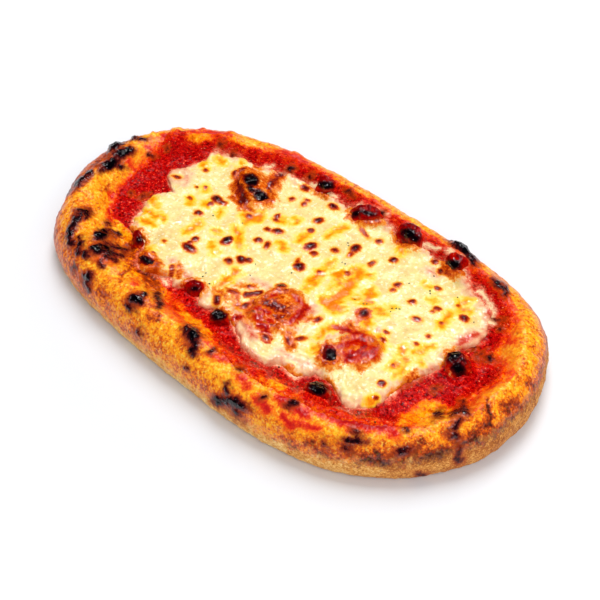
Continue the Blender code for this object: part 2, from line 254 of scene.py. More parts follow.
# Burns of crust and sauce, as seen: place x and y, half length, half width, and where it isn't 0 the turn
BURNS = (
    (-121.2, 9.5, 5, 1.7, 95), (-115.2, 9.3, 5, 3.4, 70), (-113.3, -1.2, 5.8, 3.2, 100),
    (-109.5, 0.8, 2.4, 1.2, 20), (-97, -31.5, 3.2, 2, 20), (-79.6, -36.4, 4.2, 3.1, 80),
    (-81.8, -46.4, 2, 1.3, -30), (-74.6, -49.6, 2.3, 1.5, -20), (-73, -42.6, 4.4, 3.2, 60),
    (-68.7, -41.5, 2.4, 1.8, 20), (-63.6, -58, 2.3, 1.7, -40), (-38, -53, 3.3, 2.6, 10),
    (-36.3, -58.7, 2, 1.1, -10), (-37.8, -49.4, 1.1, 1), (-23, -65.6, 1.9, 0.9, -40),
    (-5.2, -51.9, 4.6, 2.7, -35), (-10.3, -50.8, 1.8, 1.4, -60), (6.8, -52.8, 0.9, 1.3),
    (33.4, -66.2, 5.2, 2.5, 12), (28, -69.8, 2.8, 1.9, -15), (26.8, -63.6, 1.2, 0.7, -30),
    (36.8, -69, 2.6, 0.9, -25), (80.3, -48.6, 3.6, 1.7, 36), (80.6, -53.6, 1.6, 0.8, -10),
    (72.9, -57, 1.3, 0.7, -20), (79.2, -45.2, 1.3, 0.7, -10), (96, -16, 1.1, 2, 15),
    (107.3, -20.6, 1.8, 1.4, 40), (115.5, -28.4, 1.2, 1.3), (97.5, -39.6, 1.4, 2.6, -20),
    (43.8, 65.3, 5.2, 2.3, -3), (69.5, 57.8, 3.6, 1.9, -22), (73.5, 56.6, 2.6, 1.2, -50),
    (-103, 26, 1.4, 0.8, -50), (-104, 16.8, 1.6, 1.1, 10), (-116, 22.5, 1.6, 1, 60),
    (-119.2, 20.2, 1.4, 0.8, 80), (-85, -5.8, 0.8, 1.4, 10), (-90.8, -8, 1, 0.8), (-85.7, 45.3, 0.9, 1.7, 35),
    (-75.6, 42.8, 1, 2, 30), (-48.8, 54.4, 1.8, 2.1), (-38.6, 56.3, 1.1, 2, 20), (-19, 60.7, 1.5, 1.1, -30),
    (-16, 59.4, 1.5, 0.8, -20), (3, 59.6, 1.9, 1.6), (93, 21.2, 2.1, 1.7), (88.6, 20, 0.5, 1.2),
    (86.8, -6.6, 1.1, 1.5, -20), (77, -9, 0.5, 1.6, -5), (49.8, -51.2, 1.6, 2.1, 20),
    (81.5, 41.1, 1.9, 0.8, 30), (85.8, 38.1, 1, 0.8), (91.4, -31, 0.7, 0.8), (39.8, -56.2, 1, 1),
    (22, -51.4, 1, 0.7), (83.8, 21.6, 0.5, 0.8), (84.7, 12.8, 1, 0.6), (5.8, -66.2, 0.8, 0.6),
    (-83, -29.4, 1, 0.8), (109.7, -43.9, 0.9, 0.6, 30),
)
# Long burns, as seen: both ends and half the width
BURN_TRAILS = (
    (-115.9, -11.5, -113.6, -20.5, 1.5), (-96.8, -34, -93.2, -41.5, 1.4), (-93.2, -41.5, -90.3, -46.2, 1.4),
    (-90, -46.8, -84.2, -50, 1.3), (-95, -30.5, -93.4, -33, 1), (-85.5, -43.8, -82.5, -46, 0.7),
    (-81, -48, -77.5, -51, 0.8), (-70.5, -38, -63.5, -35.5, 0.9), (-62.5, -59.8, -57, -63.8, 0.6),
    (-1.5, -56.5, 2, -59.4, 1.1), (-2, -53.5, 0.5, -57, 1), (49.5, 64.8, 53.4, 61, 1.3),
    (98.8, -4.8, 103.4, -8.2, 0.9), (101.8, -7.6, 99.6, -12.2, 1.1), (103.8, -12.8, 104.9, -18.6, 0.9),
    (112.4, -23.2, 114.2, -27, 0.5), (-77.5, -31, -74, -31.5, 0.9), (24, -61, 27, -63.6, 0.6),
    (-67.5, -47.5, -64, -50, 0.6), (-34.6, -45, -28.2, -49.3, 0.9), (-70, -42, -62.5, -39.5, 0.9),
    (-68, -44.5, -62, -43, 0.8),
)
# Brown patches of the crust, as seen
BROWN_PATCHES = (
    (-117, -4, 4.5, 2.6, 80), (-97, -34, 7, 3.4, -65), (-74, -34.5, 4, 2, -10), (-70, -43, 8.5, 6.5, -20),
    (-88, -46.5, 5, 1.2, -40), (-80, -49.5, 5, 2, -25), (-52.6, -60.4, 1.9, 1.7), (-38, -53.5, 5, 4.4),
    (-56, -35, 12, 6, -15), (-114, -20, 3, 9, 15), (-119, -5, 2.6, 8, 8), (-40, -41, 5, 4),
    (-24.8, -54.8, 2.5, 2.3), (-32, -53.4, 2, 1.4, 20), (-4.5, -53, 6.6, 4.4, -38), (32, -67.5, 7.5, 5, 5),
    (68.4, -61, 1.4, 1), (74.8, -61.6, 2.4, 1, 10), (63.6, -67, 2.4, 1, -15), (81, -53.6, 2.6, 1.6),
    (90.5, -52.5, 1.2, 3, -20), (97.6, -40, 1.4, 3, -20), (97, -49, 4, 1.2, 40), (112.5, -12, 2, 7),
    (110, -3, 4.2, 1.6, -40), (112, 21.5, 2.6, 1.8), (113.5, 7, 2.4, 4.5), (107, -20.5, 3.6, 2.6),
    (103.5, -13, 2.2, 6, -10), (108.5, -33, 2, 4.5, -20), (46.5, 64, 8.5, 3.2, -12), (71, 57, 6, 3.2, -25),
    (-114.5, 5, 5.5, 8.5), (-115.5, -17, 2.6, 6, 15), (-63, -59, 4, 2.4, -35), (-53, 62.5, 3.4, 1.6),
    (-94, 52, 6, 2, 35), (-72, -58.5, 3, 1, -30),
)
# Crust stained red by sauce, as seen: both ends and half the width
RED_STAINS = (
    (-110, 32, -102, 35, 1.5), (-101, 40.5, -92, 48.5, 3), (-109.5, 20, -100, 19.5, 1.3),
    (-109, 6.6, -101, 4.6, 0.8), (-92, 50, -86, 51.5, 1.8), (-97, -9, -90, -19, 1.2),
    (-89, -22, -84, -26, 1.6), (-97, -14, -95, -17, 0.9), (-47.5, -46.5, -45, -47, 0.5),
    (-66.5, -40, -63.5, -44, 1), (-69, -46, -66.5, -48, 0.8), (-60, 61, -47, 62.5, 1.4),
    (-46, 61, -30, 62.5, 1.2), (45, -51.5, 57, -51.5, 2.6), (52, -58, 57.5, -59, 1.6),
    (38, -58, 45, -60, 1.6), (24, -55, 31, -56.5, 0.9), (8, -54.5, 13, -53, 0.9), (60, -56.5, 66, -54, 1),
    (60, -45.5, 76, -42.5, 2.8), (76, -41, 84, -35.5, 3), (93.5, 5, 101, 9, 2.2), (86, -33, 90, -36, 1.5),
    (89, 37, 93, 33.5, 1), (94, 36.5, 94.6, 34.5, 0.6), (44, 60.5, 39, 57, 1.8), (88, -6, 94, -2, 1.6),
    (-60, -29.5, -52, -31, 0.8),
)
# Brown creases of the crust, as seen: both ends and half the width
CREASES = (
    (-54, -39.5, -54.8, -46, 0.6), (-54.8, -46, -51.8, -50, 0.6), (-49.5, -40.5, -46, -40.8, 0.9),
    (104.5, 4.8, 107.6, 0.2, 0.5), (107.6, 0.2, 112, -3.6, 0.6), (112, -3.6, 114.2, -9, 0.7),
    (98, -3, 95, -12, 0.5), (100, -30, 101.5, -38, 0.6), (84.5, 31.5, 83, 25, 0.5), (89, -46.5, 96, -50, 0.5),
    (-103, -12, -95, -17, 0.5),
)
# Brown blisters of the cheese, as seen
CHEESE_SPOTS = (
    (-34.5, 48.7, 2.3, 1.6, -15), (-16.3, 47.6, 2.3, 1.8, -20), (-34, 39, 1, 0.9), (-28, 42.8, 0.8, 0.7),
    (-27.4, 40, 0.8, 1.2, 10), (-15, 36.3, 1.9, 1.6, 70), (-13, 29.2, 1.1, 1), (13.9, 44.2, 1.3, 1.2),
    (5.2, 44.1, 2.2, 0.7, -20), (26.4, 39.2, 1.6, 1.5), (9.3, 33.7, 1.9, 2.3), (10.2, 29.8, 0.7, 1.4),
    (20.9, 31.4, 0.8, 1.3), (3.5, 26.7, 1.5, 1.2), (-6.2, 21.2, 2, 2.8, -15), (-2.3, 19, 1.3, 0.9),
    (-23.7, 18.6, 2.2, 1.6, 20), (-27.7, 16.6, 1.3, 0.9, 10), (-40.3, 17.4, 1.3, 1.1),
    (-30.6, 25.9, 0.9, 1.1), (-29.3, 23.6, 1.2, 0.8), (-25.6, 8.5, 1.6, 1.2, 20), (-20.7, 9, 1.1, 1.8, 30),
    (-0.9, 8.2, 2.2, 2.1), (-3.3, 9.5, 0.6, 1.5, 30), (-35.7, -1.2, 2.3, 2.8), (-22.6, -5.6, 2.2, 1.7, -20),
    (-20, -4, 1.5, 1.2, 10), (-26, -10, 1.7, 1.3, -30), (2.1, -6.4, 2.1, 2), (26.6, -9.9, 1, 1.5),
    (-46.8, -10, 1.4, 1.5), (-44.8, -15.8, 3.2, 1.9), (-47, -13.4, 0.7, 1.4), (-58.6, 3.4, 1.6, 1.4),
    (-58.8, 15.6, 2.6, 1.8), (-55.2, 15.4, 1.8, 1.2, 20), (-59, 11.3, 0.9, 1.2), (-68.6, 18, 0.7, 0.7),
    (-68.8, 7.9, 0.8, 0.5), (-77.6, 26.7, 1, 0.8), (-83.8, 14.2, 1.5, 1.1, 30), (-71.5, 15.2, 0.4, 0.4),
    (37.5, 28.7, 1.2, 1.5), (38.2, 24.8, 0.6, 0.8), (48.8, 24.7, 1.2, 1), (51.8, 38.6, 1.1, 1.1),
    (59, 29.2, 1.2, 1), (58.7, 26.4, 0.5, 0.5), (71, 32.2, 1.8, 1.5), (56.6, 18.5, 1.6, 1.2, 15),
    (46.7, 47.7, 1.8, 1.5), (40.6, 50.6, 1.3, 1.2), (66.6, 13.9, 0.6, 0.6), (65.6, 7.2, 0.7, 0.6),
    (52.3, 4, 0.8, 0.6), (54.2, -0.6, 0.9, 0.7), (69.2, -18.9, 1.3, 1.3), (72.3, -26.5, 0.8, 0.8),
    (66.3, -8.3, 0.5, 0.5), (65.6, 23.7, 0.5, 0.5), (64.4, 36.7, 0.4, 0.4), (-56, -20.2, 0.5, 0.4),
    (17.2, 19.6, 0.9, 0.7), (7.6, 12, 0.8, 0.7), (38.3, 6, 2, 2.6, 20), (-8.4, -15.2, 0.9, 0.9),
    (-11.2, -22.4, 1.9, 0.8, 20), (-1.6, -24.4, 1.2, 2.2, -5), (28.5, -23, 0.9, 1.8, -35),
    (25.5, -27.3, 2.2, 0.8, -35), (-53.3, -29.3, 0.4, 0.4), (-76, -27.6, 2.3, 1.4, -25),
    (-81.5, -29.2, 1.2, 1), (17.5, -32, 2, 1.2, -15), (-65.2, 33.6, 0.9, 1.8, 30),
)
CHEESE_SPOT_TRAILS = (
    (-5.8, -19.6, -2.4, -14.6, 1.2), (-13.5, -29.5, -11.5, -31.5, 1.3), (-41.5, -29, -38, -33, 0.7),
)
# Orange oil on the cheese, as seen: both ends and half the width
OIL_STAINS = (
    (22, 17, 23.5, 10, 2.3), (23.5, 10, 24, 3, 2.4), (21.5, 1, 28, 1, 2.5), (25, -1, 28, -1.6, 1.2),
    (14.5, 17.5, 19, 12.6, 1.5), (13, 16, 18.5, 20.5, 1.3), (20, 24.5, 22, 19, 1.5), (18, 23, 25, 25, 0.9),
    (7.4, 21, 8.4, 12, 0.9), (8, 12, 9.6, 5, 1.5), (9.6, 5, 10.4, 0, 0.6), (31, 18.5, 35, 13, 1.4),
    (33.5, 17, 34.5, 11, 1.2), (39.5, 11.5, 44, 11.3, 1), (40, 6, 44, 1.5, 1.2), (43.5, 3, 47.4, -3, 0.8),
    (-12.6, 28, -13, 22, 0.8), (-13.5, 22.5, -12, 21.8, 1), (-3.6, 41, -5, 31, 0.7),
    (-42, 17, -37, 20.5, 1.8), (-38.5, 14.5, -36, 19, 1.6), (-38, 6.8, -35.6, 5.6, 1.2),
    (-34, 4, -29, 0, 1.1), (-19, -12, -18.6, -17, 1.3), (-18.6, -17, -18, -22.5, 1.7),
    (-40, -7, -34, -10, 0.6), (33.4, -8, 33, -17, 0.8), (-75.5, -11.5, -67.5, -10.3, 1),
    (-73.5, -17, -68.5, -16.6, 1.3), (65.8, 42, 63.8, 38.5, 0.6), (65, 31, 66.6, 22, 0.9),
    (67, 35.6, 69, 37, 1.2), (70.8, 12, 69, 3, 0.5), (63, 2, 64.2, -1.5, 0.9), (66.8, -6.5, 66, -9, 1.1),
    (70.4, -5.6, 70.6, -11, 0.6), (-22.6, 30, -22, 27.6, 0.7), (-78.5, 36.6, -76, 36.4, 1.5),
    (-67.6, 41.2, -68.4, 41.6, 0.6), (-53, -1.5, -53.6, -9.5, 0.9), (-69, 18, -67.6, 16.4, 0.9),
    (-69, 7.8, -65.6, 5.8, 0.7), (45.5, 37, 49, 37.2, 0.5), (53, 31, 54.6, 32.8, 0.4), (24.8, 46, 26, 45, 1),
    (29, 10.2, 31, 9.6, 0.8), (-17.5, 14, -14, 12.4, 1), (19, 7, 17.6, 8, 0.4), (-52.5, 11, -50.6, 8.4, 0.5),
    (-61, 10, -60, 9, 0.9), (-28.4, 24.8, -26.6, 25.4, 1.3), (45.5, 17.6, 43.8, 16.8, 0.7),
    (-44, 0.6, -43.4, 0.4, 0.9), (73, 0.8, 73.4, 0.6, 0.5), (67.6, -2.6, 68.4, -2.6, 0.9),
    (72, -27.5, 73.5, -30.5, 1.1), (-81, 30, -79, 28, 0.7), (-82, -4.5, -77, -6, 0.8),
    (-57.6, -27.8, -56.4, -28.4, 0.9), (37, -24, 41, -23.5, 0.9), (52.5, 0, 57, -3.5, 0.8),
)
# Cheese browned and greased by the nduja, as seen
GREASE = (
    (-58, 29, -48, 22, 3.6), (-50, 48, -47, 38, 3), (-55, 22, -42, 20.4, 1.2), (-64, 38, -58, 27, 2),
    (-47, 42, -45, 36, 2.4), (-40.5, -27, -35, -31, 0.9), (-17, -26.5, -10, -27.5, 1),
    (23, -24.5, 29, -28.5, 1.6), (5, -26.5, 16, -24.5, 3.4), (20, -16, 24, -12, 1), (49, -18, 58, -19, 1.2),
    (75, -6, 77.5, -16, 1.2), (78, -7, 77, -20, 1.4), (-62, 47.5, -61, 44, 0.8), (-75, -27, -68, -27, 3),
    (-62, -31, -55, -31.5, 1), (45, -28, 41, -23, 0.8), (5, -17.5, 13, -15, 3.2), (6, -21.5, 14, -20, 2.8),
    (15, -18, 17, -23, 2), (38, -3.5, 50, -3.5, 1.2), (-12, -18, -7, -14, 0.9), (36, -38, 43, -40, 0.8),
    (-9, -22, -4, -27, 1.2), (0, -20, 4, -26, 1.6),
)
# Thin cheese with a pink tinge, as seen
PINK = (
    (79, 20, 80, 28, 3.4), (75.5, 44, 80, 37, 2.6), (66, 50, 74, 46, 1.8), (41, 44.5, 47, 44.5, 1.6),
    (-34, 52.5, -20, 53, 2.2), (38, 0, 48, 1.5, 1.8), (-2, -28, 14, -35, 2.6), (19.5, -5.5, 24, -12, 1.8),
    (-16.5, -21, -14, -17, 1.6), (40, -31, 45, -31, 1.6), (28, 55, 36, 58, 1.8), (-8, 57, 4, 60, 1.8),
    (-9, -11, 5, -9, 1.2), (40, 60.5, 50, 60.5, 1.8), (-60, 44, -57, 50, 1.8), (-80, 20, -77, 12, 0.9),
    (-80, -8, -74, -21, 1.6), (52, -4, 58, -9, 1.6), (-44, -27, -30, -29, 1.8), (-10, 52, -6, 49, 1.8),
    (-40, -36, -36, -38, 1.6), (20, -24, 24, -22, 1.6), (26, -33, 40, -33, 1.2), (62, 46, 76, 43, 1.4),
    (36, -10, 38, -17, 1), (-44.5, 34, -42, 25, 1.4),
)
# Folds of the cheese that stand up a little, as seen: both ends and half the width
FOLDS = (
    (9, -38.5, 16, -42.5, 1), (16, -42.5, 28, -40.5, 1), (12, -35.5, 22, -37.5, 0.8),
    (-34, -29, -31, -33, 1.2), (-24.5, -37.2, -19, -33, 0.8), (26, -31, 40, -26.5, 0.9), (38, -16, 42, -9, 1),
    (55, -27, 62, -33, 1), (64, -27.5, 71, -29.5, 1.1), (52, -22, 58, -26, 0.8), (-44, 23, -40, 26, 1),
    (-22, 44.5, -6, 48, 0.8), (40, 42.8, 44, 44, 0.8), (49, 44.4, 55, 44.6, 0.8), (-74.5, 10, -72, 14, 1.2),
    (-77.5, 3.6, -74.6, 5.2, 0.8), (10.5, 26, 17, 22.8, 0.6), (-86, 39, -81, 33.5, 0.9),
    (-48, -37, -44, -33.5, 0.8), (-3, -29.5, 8, -33, 0.7), (-82, 1, -78, -2, 0.7), (52, 1.5, 57, -5.5, 0.9),
    (-2, 58.4, -7, 57, 0.8), (32, -12, 40, -17.5, 0.7),
)
# Rings of skin in the cheese, as seen: place, radius and half the width
RINGS = ((-14.8, -32.4, 3.9, 1.1), (-84.0, 15.5, 4.2, 1.2))

# Black places of the lumps, as seen
LUMP_BURNS = (
    (-57, 36, 4.2, 3.2, -25), (-52.6, 31.6, 2.6, 1.2, -20), (-45.8, 30.8, 4.4, 2.6, -20),
    (-29, 56.8, 3.6, 2.6, 25), (-6, 51.4, 1.3, 2.6, 10), (-2.4, 55.2, 3.4, 1.3, 22), (20.3, 57.3, 3.3, 3.1),
    (24, 56.6, 2.4, 2.2), (47.2, 55, 2.9, 2.7), (-6, -36.4, 3.1, 3.1), (-24.6, -32, 1.4, 1.5),
    (51.9, -38.1, 3.9, 3.2, -20), (54, -44.8, 1.9, 2.1, -20), (44.2, -21, 3.5, 2.5, -20),
    (46.4, -25.4, 1.2, 1.7), (81, 13.2, 2.4, 4.4, 10), (86.8, 8.2, 4.2, 2.6, -42), (-52, -33.8, 4.9, 1.7, 2),
    (-39.6, -39.8, 2.7, 1.6, 15), (5.2, -13.4, 1.9, 1.3, 35), (17.6, -14.6, 0.9, 1.8),
    (46, -11.5, 1.3, 3, -10), (44.4, -15.4, 1.6, 1.2), (-64.6, -27.4, 2.4, 1.2, -45), (3.8, -22, 0.8, 0.9),
    (84.8, 13, 1.2, 0.7),
)
# Nduja melted flat into the cheese, as seen: red ovals, then red lines
MELTS = (
    (14.5, -8.5, 3, 1.2, -20), (19.5, -14.5, 1.6, 4.2, 20), (4.2, -13.5, 1.6, 1.4, 30),
    (8.5, -26.5, 3, 1.6, 20), (13.5, -29.5, 4.6, 1.6, -20), (12, -24, 1.6, 1.2), (53, -13, 5.4, 2.2, 25),
    (56, -9, 3, 1.6, -30), (51, -17.5, 3, 2.6, -20), (1.5, -32, 1.6, 1.4), (38.4, 5.4, 2.4, 3, 20),
    (-26.5, -34.5, 3.2, 2.2, -20), (44.5, -15, 1.8, 1.6), (-11.5, -22.3, 1.6, 0.9, 20),
)
MELT_TRAILS = (
    (36, -7.5, 47, -4.5, 1.3), (47, -4.5, 45.5, -14, 1.2), (46, -5, 52, -10, 1.4), (55, -11, 58.5, -11, 1),
    (50.5, -20, 55, -17, 1), (3, -24, 8, -21, 1.4), (14, -30, 19, -32.5, 1.5), (18.5, -8, 20, -20, 1.2),
)
# Oiled bread without sauce beside the cheese, as seen
BARE = (
    (-76, -29.5, 9, 5, -10), (-64, -35, 13, 7, -15), (-50, -41, 12, 7.5, -10), (-38, -43.5, 7, 4.5, -15),
)
# Thin, oily sauce where the bread shines through orange, as seen
THIN = (
    (93, -17, 6.5, 8), (88, -26, 4, 3, 40), (92, 14, 3.2, 3), (-10, -46, 11, 2.4, -12), (-97, 42, 6, 3.4, 45),
    (38.5, -47.5, 3, 2.4), (-78, 55, 9, 2.2, 22), (-20, 64.5, 12, 1.4, 3), (20, 65.5, 14, 1.4),
)
# Small knobs of the crust at its far outline, as seen
KNOBS = (
    (-119.6, 20.8, 1.8, 1.6), (-116, 28.6, 1.6, 1.4), (-109.4, 38.2, 2.4, 1.8, 40), (-100.8, 47, 2, 1.6, 30),
    (-88.4, 55.6, 2.8, 1.6, 20), (-122, 9, 3, 2, 80), (43, 66.5, 5, 2.4), (-54, 64.5, 4, 1.4),
)
# Red and wet places of the lumps, as seen
LUMP_WET = (
    (14, -8.5, 3.6, 3, -30), (17.8, -16.5, 3, 3.6), (10, -27, 3.4, 2.6, 20), (13, -30.5, 4, 1.8, -20),
    (0, 52.6, 3.8, 1.7, 20), (53, -13, 4.6, 4.6, 20), (50, -9, 3, 2, -20), (-27.5, -34.6, 2.6, 1.5),
    (57.5, -40, 2.4, 4), (85, 16, 3.6, 2.6, -10), (90, 12, 2.2, 3.2), (-60, 28, 3, 1.8, -30),
    (20, 51.8, 4, 1.2), (5.6, -20.8, 2, 2), (-66.5, -25.5, 3.4, 1.4, -20), (41, -7, 3.4, 1.2, 20),
)

# Small flakes of dried herbs, as seen
HERB_FLAKES = (
    (46.3, 17.3), (47.6, 18), (45.6, 43.5), (40.6, 32.7), (51.2, 34), (75.4, 33.2), (34.4, 10), (30, 9.6),
    (-38.8, 11.8), (-27.9, -22), (-27.4, -24.4), (-22.1, -25.6), (-52.2, 6.5), (4.6, 34), (10.9, 23),
    (12.5, 23.2), (-71.6, 15.2), (33, -40.4), (33.8, -44), (80.3, -36), (72, -36.6), (61.2, 40.2),
    (50.2, 35.2), (45, 16.2), (45.8, 14.4), (-12.8, -10), (-16, -3.4), (-0.8, 3.2), (5.8, 33), (35.4, 11),
)
HERB_SEED = 4
FLAKE_SIDES = 6
FLAKE_REACH = (0.22, 0.55)
FLAKE_RIM = (0.02, 0.14)
FLAKE_TOP = 0.28
FLAKE_BOTTOM = -0.1


def bump(turn, centre, width):
    """A soft bump in the turn around its centre; centre and width in degrees."""
    gap = np.angle(np.exp(1j * (turn - math.radians(centre))))
    return np.exp(-((gap / math.radians(width)) ** 2))


def swell(turn):
    """How far the outline stands out from the plain superellipse."""
    return sum(size * bump(turn, centre, SWELL_WIDTH) for centre, size in OUTLINE_SWELLS)


def half_wave(share):
    """A smooth rise from 0 to 1 while share goes from 0 to 1."""
    return 0.5 - 0.5 * np.cos(np.pi * np.clip(share, 0.0, 1.0))


def superellipse(value):
    """Cosine or sine of the turn, squared off to the outline's roundness."""
    return np.sign(value) * np.abs(value) ** (2.0 / ROUNDNESS)


def plan(turn, inset):
    """Place in plan at a turn and an inset from the outline."""
    shrink = inset - swell(turn) * (1.0 - half_wave(inset / SWELL_REACH))
    x = (HALF_LENGTH - shrink) * superellipse(np.cos(turn))
    y = (HALF_WIDTH - shrink) * superellipse(np.sin(turn))
    return x, y


def even_turns(count):
    """Turns that share the outline into equal lengths, alike on the +Y and the -Y side."""
    fine = np.linspace(0.0, math.pi, 2000)
    x = HALF_LENGTH * superellipse(np.cos(fine))
    y = HALF_WIDTH * superellipse(np.sin(fine))
    walked = np.concatenate(([0.0], np.cumsum(np.hypot(np.diff(x), np.diff(y)))))
    half = np.interp(np.linspace(0.0, walked[-1], count // 2 + 1), walked, fine)
    return np.concatenate((half, -half[-2:0:-1]))


def crest_inset(turn):
    return CREST_INSET - CREST_INSET_LEAN * np.sin(turn)


def crest_height(turn):
    return CREST_HEIGHT - CREST_HEIGHT_LEAN * np.sin(turn)


def well_inset(turn):
    corner = CORNER_EXTRA * bump(turn, CORNER_TURN, CORNER_WIDTH)
    return WELL_INSET - WELL_INSET_LEAN * np.sin(turn) + corner


def ripple(x, y, length):
    """Uneven waves between about -1 and 1, some length apart."""
    k = 2.0 * math.pi / length
    first = np.sin(k * (0.92 * x + 0.39 * y) + 0.7) * np.sin(k * (0.31 * x - 0.83 * y) + 2.1)
    second = np.sin(k * (1.63 * x - 0.71 * y) + 1.3) * np.sin(k * (0.58 * x + 1.41 * y) + 4.0)
    return first + 0.5 * second


def blister_height(turn, inset):
    """Rise of the large blisters above the even rim."""
    x, y = plan(turn, inset)
    total = np.zeros_like(x)
    for centre, depth, height, along, across in BLISTERS:
        middle = np.array(plan(np.array([math.radians(centre)]), np.array([depth])))[:, 0]
        ahead = np.array(plan(np.array([math.radians(centre + 1.0)]), np.array([depth])))[:, 0]
        run = (ahead - middle) / np.linalg.norm(ahead - middle)
        u = (x - middle[0]) * run[0] + (y - middle[1]) * run[1]
        v = (y - middle[1]) * run[0] - (x - middle[0]) * run[1]
        total += height * np.exp(-((u / along) ** 2) - (v / across) ** 2)
    return total


def bread_height(turn, inset):
    """Height of the bread's top from its widest part, over the crest and down to the well."""
    crest_in, crest_up, well_in = crest_inset(turn), crest_height(turn), well_inset(turn)
    across = np.clip(inset / crest_in, 0.0, 1.0)
    dome = BULGE_HEIGHT + (crest_up - BULGE_HEIGHT) * np.sqrt(1.0 - (1.0 - across) ** 2)
    slope = half_wave((inset - crest_in) / (well_in - crest_in))
    floor = WELL_HEIGHT + WELL_DOME * half_wave((inset - well_in) / (HALF_WIDTH - well_in))
    x, y = plan(turn, inset)
    relief = RIPPLE_SIZE * ripple(x, y, RIPPLE_LENGTH) + blister_height(turn, inset)
    reach = LUMPY_TO - LUMPY_FROM
    lumpy = LUMPY_SIZE * ripple(x, y, LUMPY_LENGTH) * half_wave(2.0 * (inset - LUMPY_FROM) / reach)
    lumpy *= half_wave(2.0 * (LUMPY_TO - inset) / reach)
    return dome + (floor - crest_up) * slope + relief * across * (1.0 - slope) + lumpy


def edge_inset(pairs, turn):
    """Inset of a topping's edge, from its named pairs, with the corners between them rounded off."""
    table = np.array(pairs, dtype=float)
    samples = np.arange(EDGE_SAMPLES) * (360.0 / EDGE_SAMPLES) - 180.0
    line = np.interp(samples, table[:, 0], table[:, 1], period=360.0)
    kernel = np.hanning(2 * EDGE_SOFTNESS + 3)[1:-1]
    wrapped = np.concatenate((line[-EDGE_SOFTNESS:], line, line[:EDGE_SOFTNESS]))
    soft = np.convolve(wrapped, kernel / kernel.sum(), mode="valid")
    return np.interp(np.degrees(turn), samples, soft, period=360.0)


def outline_middle():
    """Middle of the outline's box, which is where the origin of the frame is."""
    x, y = plan(even_turns(EDGE_SAMPLES), np.zeros(EDGE_SAMPLES))
    return np.array([(x.min() + x.max()) / 2.0, (y.min() + y.max()) / 2.0, 0.0])


MIDDLE = outline_middle()


def camera_back():
    """Direction from the object towards the camera."""
    turn, rise = math.radians(CAMERA_TURN), math.radians(CAMERA_RISE)
    return np.array([math.sin(turn) * math.cos(rise), -math.cos(turn) * math.cos(rise), math.sin(rise)])


CAMERA_PLACE = CAMERA_TARGET + CAMERA_DISTANCE * camera_back()


def as_seen(points):
    """Where the camera sees each point on the level plane of the tables above."""
    share = (CAMERA_PLACE[2] - SEEN_LEVEL) / (CAMERA_PLACE[2] - points[:, 2])
    return CAMERA_PLACE[:2] + (points[:, :2] - CAMERA_PLACE[:2]) * share[:, None]


def in_spots(places, rows):
    """How deep each place lies inside the nearest oval of a table, in millimetres; negative outside."""
    depth = np.full(len(places), -FAR)
    for x, y, half_length, half_width, *turned in rows:
        turn = math.radians(turned[0]) if turned else 0.0
        c, s = math.cos(turn), math.sin(turn)
        dx, dy = places[:, 0] - x, places[:, 1] - y
        reach = np.hypot((dx * c + dy * s) / half_length, (dy * c - dx * s) / half_width)
        depth = np.maximum(depth, (1.0 - reach) * min(half_length, half_width))
    return depth


def in_trails(places, rows):
    """How deep each place lies inside the nearest rounded line of a table, in millimetres."""
    depth = np.full(len(places), -FAR)
    for x0, y0, x1, y1, half_width in rows:
        run = np.array([x1 - x0, y1 - y0], float)
        offset = places - (x0, y0)
        share = np.clip(offset @ run / (run @ run), 0.0, 1.0)
        away = np.linalg.norm(offset - share[:, None] * run, axis=1)
        depth = np.maximum(depth, half_width - away)
    return depth


def in_rings(places, rows):
    """How deep each place lies inside the nearest ring of a table, in millimetres."""
    depth = np.full(len(places), -FAR)
    for x, y, radius, half_width in rows:
        away = np.abs(np.hypot(places[:, 0] - x, places[:, 1] - y) - radius)
        depth = np.maximum(depth, half_width - away)
    return depth


def soft_step(value, low, high):
    """A smooth rise from 0 at low to 1 at high."""
    share = np.clip((value - low) / (high - low), 0.0, 1.0)
    return share * share * (3.0 - 2.0 * share)


def roughness(points, size, seed, octaves=3):
    """Uneven noise between about -1 and 1 whose bumps are some size apart, in millimetres."""
    shifted = points / size + np.array([31.7, 12.3, 5.9]) * seed
    return np.array([noise.fractal(row, 1.0, 2.0, octaves) for row in shifted.tolist()])


def warped(places, points, size, amount, seed):
    """Places moved about by noise, so that ovals and lines get uneven edges."""
    shifts = [roughness(points, size, seed, 2), roughness(points, size, seed + 1, 2)]
    return places[:, :2] + amount * np.stack(shifts, axis=1)


def ring(turn, inset, height):
    """One closed ring of points at the given insets and heights."""
    x, y = plan(turn, np.broadcast_to(inset, turn.shape))
    return np.stack([x, y, np.broadcast_to(height, x.shape)], axis=1)


def outward(rings):
    """Normals of a closed body made of rings that run from its underside out, up and in to its top."""
    along = np.roll(rings, -1, axis=1) - np.roll(rings, 1, axis=1)
    across = np.gradient(rings, axis=0)
    normals = np.cross(along, across)
    return normals / np.maximum(np.linalg.norm(normals, axis=2, keepdims=True), 1e-9)


def ring_faces(count, sides):
    """Quads between rings, and a strip of quads across the first and the last ring."""
    faces = []
    for level in range(count - 1):
        start = level * sides
        for i in range(sides):
            after = (i + 1) % sides
            faces.append((start + i, start + after, start + sides + after, start + sides + i))
    top = (count - 1) * sides
    for i in range(1, sides // 2 - 1):
        strip = (i, i + 1, sides - i - 1, sides - i)
        faces.append(tuple(top + corner for corner in strip))
        faces.append(tuple(reversed(strip)))
    half = sides // 2
    for end in ((0, 1, sides - 1), (half - 1, half, half + 1)):
        faces.append(tuple(top + corner for corner in end))
        faces.append(tuple(reversed(end)))
    return faces


